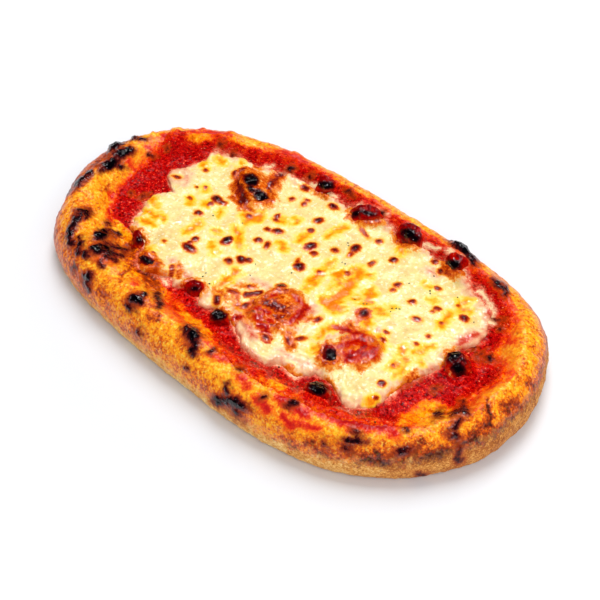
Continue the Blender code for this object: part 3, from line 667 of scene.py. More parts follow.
def shown_piece(name, points, faces, marks, material, nodes):
    """Object in the frame's place from points in millimetres, with one value of each mark at every point."""
    mesh = bpy.data.meshes.new(name)
    mesh.from_pydata(((points - MIDDLE) * MM).tolist(), [], faces)
    mesh.shade_smooth()
    mesh.materials.append(material)
    for mark, values in marks.items():
        kind, field = ("FLOAT", "value") if values.ndim == 1 else ("FLOAT_VECTOR", "vector")
        mesh.attributes.new(mark, kind, "POINT").data.foreach_set(field, values.ravel().astype(np.float32))
    piece = bpy.data.objects.new(name, mesh)
    bpy.context.scene.collection.objects.link(piece)
    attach(piece, "root")
    if nodes:
        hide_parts(*nodes)
    return piece


def round_rim(rows, turn, column=1):
    """A column of a table whose rows start with a turn in degrees, at each turn."""
    table = np.array(rows, dtype=float)
    return np.interp(np.degrees(turn), table[:, 0], table[:, column], period=360.0)


def redness(inset, turn, uneven):
    """How far a place is into the sauce, from about -3 on clean bread to 3 in thick sauce."""
    return (inset - edge_inset(SAUCE_EDGE, turn)) / round_rim(SAUCE_FADE, turn) + REDNESS_UNEVEN * uneven


def bared(points):
    """How much of the sauce's red is missing at a place, up to 5."""
    places = warped(as_seen(points), points, *BARE_WARP)
    bare = BARE_WEIGHT * soft_step(in_spots(places, BARE), -2.0, 2.0)
    return bare + THIN_WEIGHT * soft_step(in_spots(places, THIN), -1.8, 1.8)


def melted_marks(points, rim_pink):
    """Marks of the melted cheese and of the nduja that melted into it."""
    seen = as_seen(points)
    places = warped(seen, points, *MARK_WARP)
    loose = warped(seen, points, *LOOSE_WARP)
    thin = np.maximum(in_trails(loose, PINK), in_rings(seen, RINGS))
    return {
        "spot": np.maximum(in_spots(places, CHEESE_SPOTS), in_trails(places, CHEESE_SPOT_TRAILS)),
        "char": np.full(len(points), -FAR),
        "oil": in_trails(loose, OIL_STAINS) + OIL_SPREAD,
        "grease": in_trails(loose, GREASE),
        "melt": np.maximum(in_spots(loose, MELTS), in_trails(loose, MELT_TRAILS)),
        "pink": np.maximum(thin, rim_pink),
    }


def beside_lumps(points):
    """How near each place is to a lump: 0 at its outline in plan, negative away from it."""
    return in_spots(points[:, :2], LUMPS)


def bread_places(points):
    """Where the marks of the bread are looked up, moved about by coarse noise and then by fine noise."""
    places = as_seen(points)
    for warp in BURN_WARPS:
        places = warped(places, points, *warp)
    return places


def burnt(places):
    """How deep each place lies inside a burn, in millimetres."""
    return np.maximum(in_spots(places, BURNS), in_trails(places, BURN_TRAILS))


def browned(patch, crease):
    return 0.60 * soft_step(patch, -2.4, 1.8) + 0.50 * soft_step(crease, -0.9, 0.4)


def relief(noises, heights):
    """Height of several noises together."""
    return sum(height * rough for height, rough in zip(heights, noises))


def frayed_edge(pairs, turn, fray):
    """Inset of a topping's edge with ragged notches."""
    edge = edge_inset(pairs, turn)
    x, y = plan(turn, edge)
    rim = np.stack([x, y, np.zeros_like(x)], axis=1)
    for apart, seed, depth in fray:
        edge = edge - depth * roughness(rim, apart, seed)
    return edge


def topping(turn, edge, insets, under_insets, layer, thickness, profile, wave=0.0):
    """Points, normals and faces of a sheet above the bread, and how many points its underside has."""
    cut, taper, tuck, tuck_reach = profile
    rings = [ring(turn, inset, bread_height(turn, inset) + layer - UNDER_DEPTH) for inset in under_insets]
    for inset in insets:
        away = inset - edge
        rise = (thickness + GAP) * (1.0 - cut * np.exp(-away / taper)) - tuck * np.exp(-away / tuck_reach)
        swing = wave * ripple(*plan(turn, inset), CHEESE_WAVE_LENGTH) * soft_step(away, 0.0, 5.0)
        rings.append(ring(turn, inset, bread_height(turn, inset) + layer + rise + swing))
    faces = ring_faces(len(rings), len(turn))
    rings = np.array(rings)
    return rings.reshape(-1, 3), outward(rings).reshape(-1, 3), faces, len(under_insets) * len(turn)


def crust_rings(turn):
    """Rings of the bread from its underside to its hidden floor, and each point's inset past the crest."""
    rings = []
    for share in np.linspace(1.0, 0.0, UNDERSIDE_RINGS, endpoint=False):
        rings.append(ring(turn, FOOT_INSET + share * (MIDDLE_INSET - FOOT_INSET), 0.0))
    for angle in np.linspace(math.pi / 2.0, 0.0, WALL_RINGS, endpoint=False):
        rings.append(ring(turn, FOOT_INSET * (1.0 - math.cos(angle)), BULGE_HEIGHT * (1.0 - math.sin(angle))))
    for angle in np.linspace(0.0, math.pi / 2.0, CREST_RINGS, endpoint=False):
        inset = crest_inset(turn) * (1.0 - math.cos(angle))
        rings.append(ring(turn, inset, bread_height(turn, inset)))
    outside = np.full((len(rings), len(turn)), -FAR)
    slope = []
    for share in np.linspace(0.0, 1.0, SLOPE_RINGS):
        slope.append(crest_inset(turn) + share * (DENSE_INSET - crest_inset(turn)))
        rings.append(ring(turn, slope[-1], bread_height(turn, slope[-1])))
    for share in np.linspace(0.25, 1.0, HIDDEN_RINGS):
        inset = np.full_like(turn, DENSE_INSET + share * (MIDDLE_INSET - DENSE_INSET))
        rings.append(ring(turn, inset, bread_height(turn, inset)))
    hidden = np.full((HIDDEN_RINGS, len(turn)), DENSE_INSET)
    return np.array(rings), np.concatenate((outside, slope, hidden)).ravel()


def towards_camera(points, normals):
    """1 where a surface faces the camera, falling to 0 where it turns away."""
    sight = CAMERA_PLACE - points
    sight /= np.linalg.norm(sight, axis=1, keepdims=True)
    return soft_step(np.sum(sight * normals, axis=1), -0.35, 0.05)


def crust_piece(material):
    """The bread with its blisters, burns, browning, flour and sauce stains."""
    turn = even_turns(CRUST_SIDES)
    rings, insets = crust_rings(turn)
    normals = outward(rings).reshape(-1, 3)
    points = rings.reshape(-1, 3)
    turns = np.tile(turn, len(rings))
    outer = insets < 0.0
    below = np.arange(len(points)) < UNDERSIDE_RINGS * CRUST_SIDES

    facing = towards_camera(points, normals)
    noises = [roughness(points, *row) for row in DOUGH_NOISE]
    coarse, fine, _ = noises
    places = bread_places(points)

    def where_seen(depth):
        return np.where(below, -FAR, depth * facing - FAR * (1.0 - facing))

    burn, patch = where_seen(burnt(places)), where_seen(in_spots(places, BROWN_PATCHES))
    crease, stain = where_seen(in_trails(places, CREASES)), where_seen(in_trails(places, RED_STAINS))
    knob = where_seen(in_spots(places, KNOBS))

    drop = np.where(outer, crest_height(turns) - points[:, 2], 0.0)
    flour = drop - CREST_HEIGHT * (1.0 - round_rim(WALL_LOOK, turns, 1))
    flour = flour + FLOUR_COARSE * coarse + FLOUR_FINE * fine
    flour = np.where(below, FAR, np.where(outer, flour, -FAR))
    stain = np.maximum(stain, redness(insets, turns, coarse + 0.5 * fine) - bared(points))
    brown = round_rim(WALL_LOOK, turns, 2) * soft_step(drop, 0.5, 7.0) + browned(patch, crease)

    lift = relief(noises, DOUGH_RELIEF)
    lift += BURN_HEIGHT * soft_step(burn, -1.2, 1.6) + soft_step(burn, -0.3, 1.0) * BURN_CRACKS * fine
    lift -= CREASE_DEPTH * soft_step(crease, -0.8, 0.4)
    lift += KNOB_HEIGHT * soft_step(knob, -0.8, 1.2)
    lift = np.where(below, 0.0, lift) * soft_step(points[:, 2], 0.0, FLAT_FOOT)
    points = points + normals * lift[:, None]
    points[:, 2] = np.maximum(points[:, 2], 0.0)
    marks = {"burn": burn, "brown": brown, "stain": stain, "flour": flour}
    faces = ring_faces(len(rings), CRUST_SIDES)
    return shown_piece("baked_crust", points, faces, marks, material, ["crust"])


def sauce_piece(material):
    """The tomato sauce: a thin pulpy layer that thins out towards its ragged edge."""
    turn = even_turns(SAUCE_SIDES)
    edge = frayed_edge(SAUCE_EDGE, turn, SAUCE_FRAY) - SAUCE_REACH
    cheese_edge = edge_inset(CHEESE_EDGE, turn)
    inner = cheese_edge + SAUCE_DENSE
    insets = [edge + (inner - edge) * share for share in np.linspace(0.0, 1.0, SAUCE_RINGS)]
    insets += [inner + (MIDDLE_INSET - inner) * share for share in np.linspace(0.25, 1.0, HIDDEN_RINGS)]
    under = insets[::-1][::SAUCE_UNDER_STEP] + [insets[0]]
    points, normals, faces, hidden = topping(turn, edge, insets, under, 0.0, SAUCE_THICKNESS, SAUCE_PROFILE)
    from_edge = np.concatenate([np.zeros(hidden), *[inset - edge for inset in insets]])
    beyond = np.concatenate([np.full(hidden, FAR), *[cheese_edge - inset for inset in insets]])

    places = bread_places(points)
    burn = burnt(places)
    brown = browned(in_spots(places, BROWN_PATCHES), in_trails(places, CREASES))
    seen = np.column_stack([as_seen(points), np.zeros(len(points))])
    noises = [roughness(seen, *row) for row in PULP_NOISE]
    top = soft_step(from_edge, 0.0, 3.0)
    lift = top * relief(noises, PULP_RELIEF) + SAUCE_BURN_HEIGHT * soft_step(burn, -1.0, 1.3)
    lift += SAUCE_SWELL * top * soft_step(beside_lumps(points), -2.5, 0.2)
    points = points + normals * lift[:, None]
    coarse, fine = [roughness(points, *row) for row in DOUGH_NOISE[:2]]
    inset_of = np.concatenate([np.tile(edge, len(under)), *insets])
    thick = redness(inset_of, np.tile(turn, len(under) + len(insets)), coarse + 0.5 * fine) - bared(points)
    loose = warped(as_seen(points), points, *LOOSE_WARP)
    film = np.maximum(in_trails(loose, PINK) + 0.4, 0.4 - 0.8 * beyond + 1.3 * noises[0])
    # The pulp mark is the coarse noise of the sauce's relief; the sauce's material paints shade in its hollows
    # and light on its swells from it.
    marks = {"burn": burn, "brown": brown, "thick": thick, "pulp": noises[0], "film": film, "seen": seen * MM}
    return shown_piece("tomato_sauce", points, faces, marks, material, ["sauce"])


def cheese_piece(material):
    """The melted cheese: a lobed sheet with rounded edge, blisters, folds, oil and pink thin places."""
    turn = even_turns(CHEESE_SIDES)
    edge = frayed_edge(CHEESE_EDGE, turn, CHEESE_FRAY)
    shares = [share ** CHEESE_CROWDING for share in np.linspace(0.0, 1.0, CHEESE_RINGS)]
    insets = [edge + (MIDDLE_INSET - edge) * share for share in shares]
    points, normals, faces, hidden = topping(
        turn, edge, insets, insets[::-1][::CHEESE_UNDER_STEP], SAUCE_THICKNESS + GAP, CHEESE_THICKNESS,
        CHEESE_PROFILE, CHEESE_WAVE)
    from_edge = np.concatenate([np.full(hidden, -1.0), *[inset - edge for inset in insets]])
    top = soft_step(from_edge, 0.0, 2.0)

    noises = [roughness(points, *row) for row in CHEESE_NOISE]
    broad, fine, _ = noises
    marks = melted_marks(points, 1.8 - 0.9 * from_edge + 1.1 * fine + 1.4 * broad)
    places = as_seen(points)
    fold = in_trails(warped(places, points, *FOLD_WARP), FOLDS)
    lift = top * (relief(noises, CHEESE_RELIEF) + FOLD_HEIGHT * soft_step(fold, -1.0, 0.6))
    spot, oil = marks["spot"], marks["oil"]
    lift += SPOT_HEIGHT * soft_step(spot, -0.9, 1.3) + SPOT_CRACKS * fine * soft_step(spot, 0.1, 1.0)
    ridge = RING_HEIGHT * soft_step(in_rings(places, RINGS), -0.8, 0.8)
    lift += ridge - OIL_DEPTH * soft_step(oil, -0.5, 0.8)
    near = beside_lumps(warped(points, points, *BED_WARP))
    marks["grease"] = np.maximum(marks["grease"], 0.9 + 1.2 * np.minimum(near, 0.0) + 0.8 * fine)
    lift += CHEESE_SWELL * top * soft_step(near + 0.6 * broad, -3.2, 0.4)
    points = points + normals * lift[:, None]
    return shown_piece("melted_cheese", points, faces, marks, material, ["cheese"])


def rounded_solid(node, levels):
    """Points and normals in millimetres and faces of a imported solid, with its facets rounded off."""
    copy = bpy.data.objects.new(node + "_core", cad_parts[node].data.copy())
    bpy.context.scene.collection.objects.link(copy)
    copy.modifiers.new("weld", "WELD").merge_threshold = WELD_DISTANCE * MM
    copy.modifiers.new("rounded", "SUBSURF").levels = levels
    fine_mesh = copy.evaluated_get(bpy.context.evaluated_depsgraph_get()).to_mesh()
    points = np.array([v.co for v in fine_mesh.vertices], float) / MM + MIDDLE
    normals = np.array([v.normal for v in fine_mesh.vertices], float)
    faces = [tuple(face.vertices) for face in fine_mesh.polygons]
    bpy.data.objects.remove(copy, do_unlink=True)
    return points, normals, faces


def lump_piece(node, material, melted):
    """One lump of nduja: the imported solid's form, made fine, cracked and let down into what carries it."""
    low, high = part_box(node)
    large = max(high.x - low.x, high.y - low.y) > LARGE_LUMP * MM
    points, normals, faces = rounded_solid(node, 4 if large else 3)
    share = np.clip((points[:, 2] - low.z / MM) / ((high.z - low.z) / MM), 0.0, 1.0)
    crag, fine = [roughness(points, *row) for row in LUMP_NOISE]
    lift = (MELTED_RELIEF if melted else LUMP_RELIEF) * crag + LUMP_GRAIN * soft_step(share, 0.15, 0.6) * fine
    points = points + normals * lift[:, None]
    points[:, :2] = warped(points, points, *LUMP_WARP)
    points[:, 2] -= LUMP_SINK + FOOT_SINK * (1.0 - soft_step(share, 0.05, 0.75))

    depth = beside_lumps(warped(points, points, *BED_WARP))
    marks = melted_marks(points, 1.2 * crag - 1.2)
    marks["crag"] = crag
    if node in BROWN_LUMPS:
        marks["grease"] = np.maximum(marks["grease"], np.minimum(0.4 + 0.8 * depth, 0.3) + 1.5 * crag)
    if not melted:
        places = warped(as_seen(points), points, *CHAR_WARP)
        marks["char"] = in_spots(places, LUMP_BURNS)
        marks["melt"] = in_spots(places, LUMP_WET)
    if not melted and node not in BROWN_LUMPS:
        marks["melt"] = np.maximum(marks["melt"], np.minimum(0.6 + 0.9 * depth, 2.0) + 1.3 * crag)
    return shown_piece(node + "_baked", points, faces, marks, material, [node])


def frame_place(point):
    """Place of a point, given in millimetres, in the axes and metres of the frame."""
    return Vector(((point - MIDDLE) * MM).tolist())


def herb_piece(material, carriers):
    """Dark flakes of dried herbs on the cheese and the sauce, joined as one piece."""
    draw = np.random.default_rng(HERB_SEED)
    points, faces = [], []
    start = frame_place(CAMERA_PLACE)
    for x, y in HERB_FLAKES:
        sight = (frame_place(np.array([x, y, SEEN_LEVEL])) - start).normalized()
        hits = [carrier.ray_cast(start, sight) for carrier in carriers]
        away = min((hit[1] - start).length for hit in hits if hit[0])
        middle = np.array(start + sight * away) / MM + MIDDLE
        around = np.arange(FLAKE_SIDES) * (2.0 * math.pi / FLAKE_SIDES) + draw.uniform(0.0, 1.0)
        reach = draw.uniform(*FLAKE_REACH, FLAKE_SIDES)
        first = len(points)
        for angle, radius in zip(around, reach):
            rim = (radius * math.cos(angle), radius * math.sin(angle), draw.uniform(*FLAKE_RIM))
            points.append(middle + rim)
        points += [middle + (0.0, 0.0, FLAKE_TOP), middle + (0.0, 0.0, FLAKE_BOTTOM)]
        top, bottom = first + FLAKE_SIDES, first + FLAKE_SIDES + 1
        for i in range(FLAKE_SIDES):
            here, after = first + i, first + (i + 1) % FLAKE_SIDES
            faces += [(here, after, top), (after, here, bottom)]
    return shown_piece("herb_flakes", np.array(points), faces, {}, material, [])


def linear(value):
    """Linear light of a screen value between 0 and 255."""
    if value <= 10:
        return value / 255.0 / 12.92
    return ((value / 255.0 + 0.055) / 1.055) ** 2.4


def tone(red, green, blue, opacity=1.0):
    """Colour of a shader socket from screen values."""
    return linear(red), linear(green), linear(blue), opacity


class Paint:
    """Builds the nodes of one material."""

    def __init__(self, name):
        self.material = bpy.data.materials.new(name)
        self.material.use_nodes = True
        self.tree = self.material.node_tree
        self.shader = self.tree.nodes["Principled BSDF"]
        self.place = self.tree.nodes.new("ShaderNodeTexCoord").outputs["Object"]

    def put(self, socket, value):
        if isinstance(value, bpy.types.NodeSocket):
            self.tree.links.new(value, socket)
        else:
            socket.default_value = value

    def add(self, kind, inputs, **settings):
        """A node with its settings, and with numbers or the outputs of other nodes on its inputs."""
        node = self.tree.nodes.new("ShaderNode" + kind)
        for name, value in settings.items():
            setattr(node, name, value)
        for name, value in inputs.items():
            self.put(node.inputs[name], value)
        return node

    def mark(self, name, output="Fac"):
        return self.add("Attribute", {}, attribute_name=name).outputs[output]

    def math(self, operation, *values):
        return self.add("Math", dict(enumerate(values)), operation=operation).outputs[0]

    def mottle(self, size, detail=2.0, seed=0.0):
        """Noise between about -1 and 1, its bumps some millimetres apart."""
        shift = self.add("VectorMath", {0: self.place, 1: (seed, seed * 0.7, seed * 0.3)}, operation="ADD")
        fine = {"Vector": shift.outputs[0], "Scale": 1.0 / (size * MM), "Detail": detail, "Roughness": 0.6}
        return self.math("MULTIPLY_ADD", self.add("TexNoise", fine).outputs["Fac"], 4.0, -2.0)

    def wander(self, value, *amounts):
        """A value with noise added: each amount is (size, strength, seed)."""
        for size, strength, seed in amounts:
            value = self.math("MULTIPLY_ADD", self.mottle(size, seed=seed), strength, value)
        return value

    def share(self, value, low, high, start=0.0, end=1.0):
        """A number that goes from start to end while the value goes from low to high."""
        limits = {"From Min": low, "From Max": high, "To Min": start, "To Max": end}
        return self.add("MapRange", {"Value": value, **limits}).outputs["Result"]

    def ramp(self, value, low, high, *stops):
        """Colour and opacity along stops of value, colour and opacity, for values from low to high."""
        node = self.add("ValToRGB", {"Fac": self.share(value, low, high)})
        band = node.color_ramp
        while len(band.elements) < len(stops):
            band.elements.new(0.5)
        for element, (at, color, *opacity) in zip(band.elements, stops):
            element.position = (at - low) / (high - low)
            element.color = tone(*color, *opacity)
        return node.outputs["Color"], node.outputs["Alpha"]

    def over(self, under, layer, strength=1.0):
        """A coloured layer laid over a colour, as far as the layer is opaque."""
        color, opacity = layer
        if strength != 1.0:
            opacity = self.math("MULTIPLY", opacity, strength)
        inputs = {"Factor": opacity, "A": under, "B": color}
        return self.add("Mix", inputs, data_type="RGBA").outputs["Result"]

    def cover(self, under, value, low, high, *stops, strength=1.0):
        """A ramp of stops laid over a colour."""
        return self.over(under, self.ramp(value, low, high, *stops), strength)

    def specks(self, color, size, seed, start, glint_and_fleck, strength=1.0):
        """Small bright or dark specks where noise of a size rises above a start; used for painted glints and
        highlights and for brown flecks.
        """
        share = self.share(self.mottle(size, 0.5, seed), start, start + 0.3)
        return self.over(color, (tone(*glint_and_fleck), share), strength)

    def bump(self, height, distance, strength=1.0):
        """A bumpy normal from a height whose unit is a distance in millimetres."""
        inputs = {"Height": height, "Distance": distance * MM, "Strength": strength}
        return self.add("Bump", inputs).outputs["Normal"]

    def finish(self, color, roughness, normal, **constants):
        self.put(self.shader.inputs["Base Color"], color)
        self.put(self.shader.inputs["Roughness"], roughness)
        self.put(self.shader.inputs["Normal"], normal)
        for name, value in constants.items():
            self.shader.inputs[name.replace("_", " ")].default_value = value
        return self.material


def baked_color(paint):
    """Golden bread, mottled with orange and brown."""
    baked = paint.wander(
        paint.mark("brown"), (7, 0.18, 1), (2.6, 0.26, 2), (1.5, 0.32, 3), (0.85, 0.24, 3.5))
    color, _ = paint.ramp(
        baked, -0.7, 1.3, (-0.62, (255, 230, 140)), (-0.36, (255, 200, 44)), (-0.12, (253, 168, 10)),
        (0.12, (244, 130, 0)), (0.38, (208, 80, 2)), (0.66, (150, 48, 8)), (1.05, (80, 24, 10)))
    return color


def reddened(paint, color, mark):
    """Bread under sauce, from clean bread to thick sauce, and how thick the sauce is."""
    thick = paint.wander(paint.mark(mark), (2.2, 0.6, 9), (0.9, 0.8, 10), (0.45, 0.5, 10.5))
    return paint.cover(
        color, thick, -3, 3, (-2.6, (255, 150, 12), 0), (-1.2, (250, 100, 4), 0.6),
        (-0.2, (230, 40, 2), 0.9), (1, (202, 6, 3)), (2.8, (170, 0, 4))), thick


def burnt_over(paint, color, narrowed):
    """Brown, maroon and black where the bread burnt, with painted blue-grey glints on the char; the burns are
    made narrower by some millimetres.
    """
    burn = paint.math("SUBTRACT", paint.mark("burn"), narrowed)
    burn = paint.wander(burn, (3, 0.50, 10.7), (1.5, 0.55, 11), (0.8, 0.30, 12))
    color = paint.cover(
        color, burn, -3, 2.4, (-2.7, (216, 96, 8), 0), (-1.4, (176, 64, 8), 0.5),
        (-0.5, (126, 34, 10), 0.9), (0.2, (78, 16, 16)), (0.7, (38, 8, 14)), (1.4, (3, 2, 5)))
    # Painted glints: pale blue-grey specks on the black of the burns.
    return paint.specks(color, 0.9, 22, 0.95, (206, 198, 214), paint.share(burn, -0.2, 0.8, 0, 0.6)), burn


def crust_material():
    """Golden baked dough, brown and black where it burnt, red where the sauce ran, floury on its wall, with
    painted highlights.
    """
    paint = Paint("baked_dough")
    brown, flour = paint.mark("brown"), paint.mark("flour")
    color = baked_color(paint)
    # Painted highlights: small bright yellow glints on the golden crust, fewer where it browned.
    color = paint.specks(color, 0.9, 21, 0.45, (255, 212, 84), paint.share(brown, 0.1, 0.6, 0.55, 0.08))
    dusty = paint.wander(flour, (3, 1.6, 4), (1.1, 1.6, 5))
    toasted = paint.math("MULTIPLY_ADD", brown, 0.42, 0.20)
    toasted = paint.wander(toasted, (0.7, 0.24, 6), (1.9, 0.16, 6.5), (5.5, 0.14, 7))
    dough, _ = paint.ramp(
        toasted, -0.2, 1, (-0.15, (255, 244, 216)), (0.12, (250, 208, 130)), (0.36, (230, 160, 74)),
        (0.62, (184, 100, 32)), (0.95, (118, 54, 20)))
    color = paint.over(color, (dough, paint.share(dusty, -2, 2.4)))
    color, _ = reddened(paint, color, "stain")
    color, burn = burnt_over(paint, color, 0)
    normal = paint.bump(paint.mottle(1.4, 0.5, 13), 0.10)
    wet, dry = paint.share(burn, -0.6, 0.8, 0.34, 0.15), paint.share(dusty, -2, 1.5, 0.15, 0.80)
    return paint.finish(color, paint.math("MAXIMUM", wet, dry), normal, Specular_IOR_Level=0.5)


def sauce_material():
    """Wet tomato pulp: deep red where thick, orange where the bread shows through, black where burnt, with
    painted shade and glints.
    """
    paint = Paint("tomato_pulp")
    color, thick = reddened(paint, baked_color(paint), "thick")
    paint.place = paint.mark("seen", "Vector")
    # Painted shade and light: the pulp mark is the coarse relief of the sauce, so its hollows are painted dark
    # red and its swells bright red, and the pinkish top stop is a painted glint; the added noise gives random
    # pulp colour.
    pulp_shade_and_glint = paint.wander(paint.math("MULTIPLY", paint.mark("pulp"), 0.4), (1.5, 1.1, 3), (0.7, 0.9, 4))
    color = paint.cover(
        color, pulp_shade_and_glint, -1.8, 1.8, (-0.9, (64, 0, 0), 0.9), (-0.2, (140, 0, 0), 0.45), (0.4, (214, 6, 2), 0.3),
        (1.1, (250, 44, 10), 0.85), (1.7, (255, 130, 84)), strength=paint.share(thick, -0.5, 1.5))
    # Painted glints: small pinkish specks on the sauce.
    color = paint.specks(color, 0.9, 23, 0.90, (255, 150, 104), 0.7)
    film = paint.wander(paint.mark("film"), (2.2, 0.8, 11), (0.8, 0.8, 12))
    color = paint.cover(
        color, film, -2, 2, (-1.2, (232, 70, 46), 0), (0.2, (238, 120, 90), 0.6),
        (1.3, (246, 190, 150), 0.9), (1.9, (250, 218, 168)))
    color, _ = burnt_over(paint, color, 0.6)
    normal = paint.bump(paint.mottle(1.3, 1, 7), 0.06)
    return paint.finish(color, paint.share(pulp_shade_and_glint, -1, 1, 0.16, 0.30), normal, Specular_IOR_Level=0.11)


def melted_color(paint):
    """Cream cheese with thin pink places, orange oil, brown grease, red melted nduja and brown blisters, with
    painted highlights and glints.
    """
    cloud = paint.wander(0.56, (12, 0.22, 1), (4, 0.20, 2), (1.5, 0.14, 3))
    color, _ = paint.ramp(
        cloud, 0, 1, (0.05, (222, 178, 108)), (0.34, (236, 203, 132)), (0.62, (244, 223, 148)),
        (1, (248, 240, 186)))
    # Painted highlights: small near-white specks on the cream; the brown specks below are flecks in the cheese.
    color = paint.specks(color, 1.4, 24, 0.45, (255, 252, 222), 0.6)
    color = paint.specks(color, 0.8, 25, 0.80, (206, 136, 40), 0.7)
    pink = paint.wander(paint.mark("pink"), (2.6, 0.8, 4), (1, 0.6, 5))
    color = paint.cover(
        color, pink, -3, 3, (-2.2, (250, 222, 170), 0), (-0.8, (246, 208, 162), 0.7),
        (0.6, (238, 180, 142), 0.9), (1.7, (226, 136, 104), 0.95), (2.8, (206, 64, 40)))
    spot = paint.wander(paint.mark("spot"), (1.3, 0.22, 10), (0.5, 0.22, 11))
    color = paint.cover(
        color, spot, -2, 2.2, (-1.8, (253, 214, 70), 0), (-1, (250, 180, 30), 0.75),
        (0, (240, 140, 10)))
    oil = paint.wander(paint.mark("oil"), (3, 0.8, 6), (1, 0.5, 7))
    color = paint.cover(
        color, oil, -2.4, 2.2, (-2.3, (252, 232, 130), 0), (-1, (254, 220, 66), 0.66),
        (0.2, (254, 192, 16), 0.94), (1.3, (250, 156, 2)), (2.1, (238, 124, 2)))
    grease = paint.wander(paint.mark("grease"), (2.4, 1, 8), (0.9, 1, 9))
    color = paint.cover(
        color, grease, -2.5, 3.2, (-2, (248, 180, 60), 0), (-0.8, (242, 142, 8), 0.9),
        (0.6, (214, 84, 0)), (1.9, (150, 30, 2)), (3, (88, 8, 6)))
    melt = paint.wander(paint.mark("melt"), (2.2, 0.7, 17), (0.8, 0.7, 18))
    color = paint.cover(
        color, melt, -2, 2.6, (-1.5, (238, 130, 30), 0), (-0.6, (216, 76, 4), 0.85), (0.2, (196, 26, 0)),
        (1.2, (164, 2, 0)), (2.4, (104, 0, 4)))
    color = paint.cover(
        color, spot, -2, 2.2, (-0.9, (226, 110, 10), 0), (-0.35, (214, 86, 8)), (0.15, (156, 28, 4)),
        (0.7, (96, 8, 6)), (1.4, (44, 4, 7)), (2.1, (8, 2, 5)))
    char = paint.wander(paint.mark("char"), (1.6, 0.36, 19), (0.7, 0.22, 20))
    color = paint.cover(
        color, char, -2, 1.6, (-1.3, (130, 16, 6), 0), (-0.5, (96, 6, 6), 0.88), (0.2, (46, 3, 8)),
        (1.1, (5, 2, 5)))
    # Painted glints: pale specks on the black char of the lumps and on the dark blisters.
    charred, blistered = paint.share(char, -0.4, 0.6, 0, 0.6), paint.share(spot, 0.2, 1.2, 0, 0.3)
    dark = paint.math("MAXIMUM", charred, blistered)
    return paint.specks(color, 0.9, 26, 0.95, (216, 200, 208), dark), spot


def cheese_material():
    """Melted cheese, glossy and uneven, with painted highlights."""
    paint = Paint("melted_cheese")
    normal = paint.bump(paint.wander(0, (4, 1, 13), (1.6, 0.15, 14)), 0.12)
    color, spot = melted_color(paint)
    wet = paint.share(paint.mottle(5, 2, 16), -0.8, 0.8, 0.14, 0.28)
    gloss = paint.math("MAXIMUM", wet, paint.share(spot, -0.6, 0.4, 0.1, 0.24))
    return paint.finish(
        color, gloss, normal, Specular_IOR_Level=0.8, Subsurface_Weight=0.2,
        Subsurface_Scale=CREAM_DEPTH * MM, Subsurface_Radius=(1, 0.6, 0.25))


def nduja_material():
    """Baked nduja in the colours of the cheese around it: red, brown with fat, black where burnt, with painted
    glints.
    """
    paint = Paint("baked_nduja")
    normal = paint.bump(paint.mottle(1.4, 0.5, 13), 0.03)
    color, _ = melted_color(paint)
    gloss = paint.share(paint.mark("crag"), -1, 1, 0.07, 0.14)
    return paint.finish(color, gloss, normal, Specular_IOR_Level=0.3)


def herb_material():
    paint = Paint("dried_herb")
    color, _ = paint.ramp(
        paint.mottle(0.5, 2, 1), -1, 1, (-0.8, (14, 26, 16)), (0, (34, 46, 26)),
        (0.8, (74, 70, 34)))
    return paint.finish(color, 0.55, paint.bump(paint.mottle(0.3, 2, 2), 0.1), Specular_IOR_Level=0.3)


def floor_material():
    """White, with painted shade: a cool grey near the pizzetta that deepens its shadow there."""
    paint = Paint("pale_floor")
    away = paint.add("VectorMath", {0: paint.place}, operation="LENGTH")
    reach = paint.wander(away.outputs["Value"], (60, 0.002, 1))
    # Painted shade: the floor is a cool grey within about a tenth of a metre of the pizzetta and fades to white
    # by three tenths.
    color, _ = paint.ramp(reach, 0, 0.5, (0.10, (228, 230, 234)), (0.30, (249, 250, 251)))
    normal = paint.bump(paint.mottle(1.5, 2, 2), 0.02, 0.1)
    return paint.finish(color, 0.9, normal, Specular_IOR_Level=0.1)


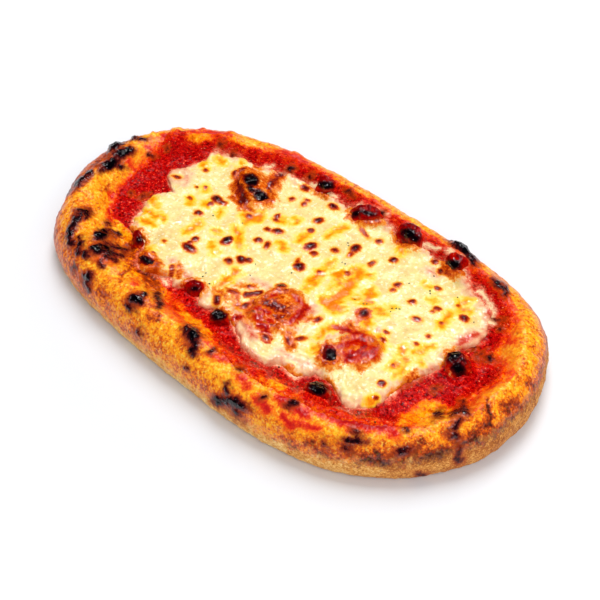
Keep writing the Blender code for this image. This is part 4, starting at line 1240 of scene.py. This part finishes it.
def floor_stage():
    """Plain pale floor that reaches past the camera's view."""
    mesh = bpy.data.meshes.new("floor")
    far = FLOOR_REACH
    corners = [(-far, -far, 0.0), (far, -far, 0.0), (far, far, 0.0), (-far, far, 0.0)]
    mesh.from_pydata(corners, [], [(0, 1, 2, 3)])
    mesh.materials.append(floor_material())
    floor = bpy.data.objects.new("floor", mesh)
    floor.location.z = -FLOOR_DROP * MM
    bpy.context.scene.collection.objects.link(floor)


def soft_light(name, turn, rise, distance, size, watts, mirrored):
    """A square area light aimed at the pizzetta; glossy surfaces mirror it or see nothing of it."""
    light = bpy.data.lights.new(name, "AREA")
    light.shape = "SQUARE"
    light.size = size
    light.energy = watts
    lamp = bpy.data.objects.new(name, light)
    around, up = math.radians(CAMERA_TURN + turn), math.radians(rise)
    back = Vector((math.sin(around) * math.cos(up), -math.cos(around) * math.cos(up), math.sin(up)))
    lamp.location = back * distance
    lamp.rotation_mode = "QUATERNION"
    lamp.rotation_quaternion = back.to_track_quat("Z", "Y")
    lamp.visible_glossy = mirrored
    lamp.visible_diffuse = not mirrored
    bpy.context.scene.collection.objects.link(lamp)


def studio():
    """Soft light from above, a pale surround, and small lights that only wet surfaces mirror."""
    for row in LIGHTS:
        soft_light(*row)
    world = bpy.data.worlds.new("surround")
    world.use_nodes = True
    background = world.node_tree.nodes["Background"]
    background.inputs["Color"].default_value = (1.0, 1.0, 1.0, 1.0)
    background.inputs["Strength"].default_value = SURROUND_STRENGTH
    bpy.context.scene.world = world
    world.cycles_visibility.glossy = False
    bpy.context.scene.view_settings.view_transform = "Standard"


def camera():
    data = bpy.data.cameras.new("camera")
    data.lens = CAMERA_LENS
    data.sensor_width = CAMERA_SENSOR
    data.clip_start = 0.01
    data.clip_end = 20.0
    view = bpy.data.objects.new("camera", data)
    view.location = frame_place(CAMERA_PLACE)
    view.rotation_mode = "QUATERNION"
    view.rotation_quaternion = Vector(camera_back().tolist()).to_track_quat("Z", "Y")
    bpy.context.scene.collection.objects.link(view)
    bpy.context.scene.camera = view


def dress():
    crust_piece(crust_material())
    sauce = sauce_piece(sauce_material())
    cheese = cheese_piece(cheese_material())
    nduja = nduja_material()
    for node in sorted(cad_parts):
        if node.startswith("nduja"):
            lump_piece(node, nduja, node.startswith("nduja_spread"))
    herb_piece(herb_material(), [sauce, cheese])
    floor_stage()
    studio()
    camera()


dress()
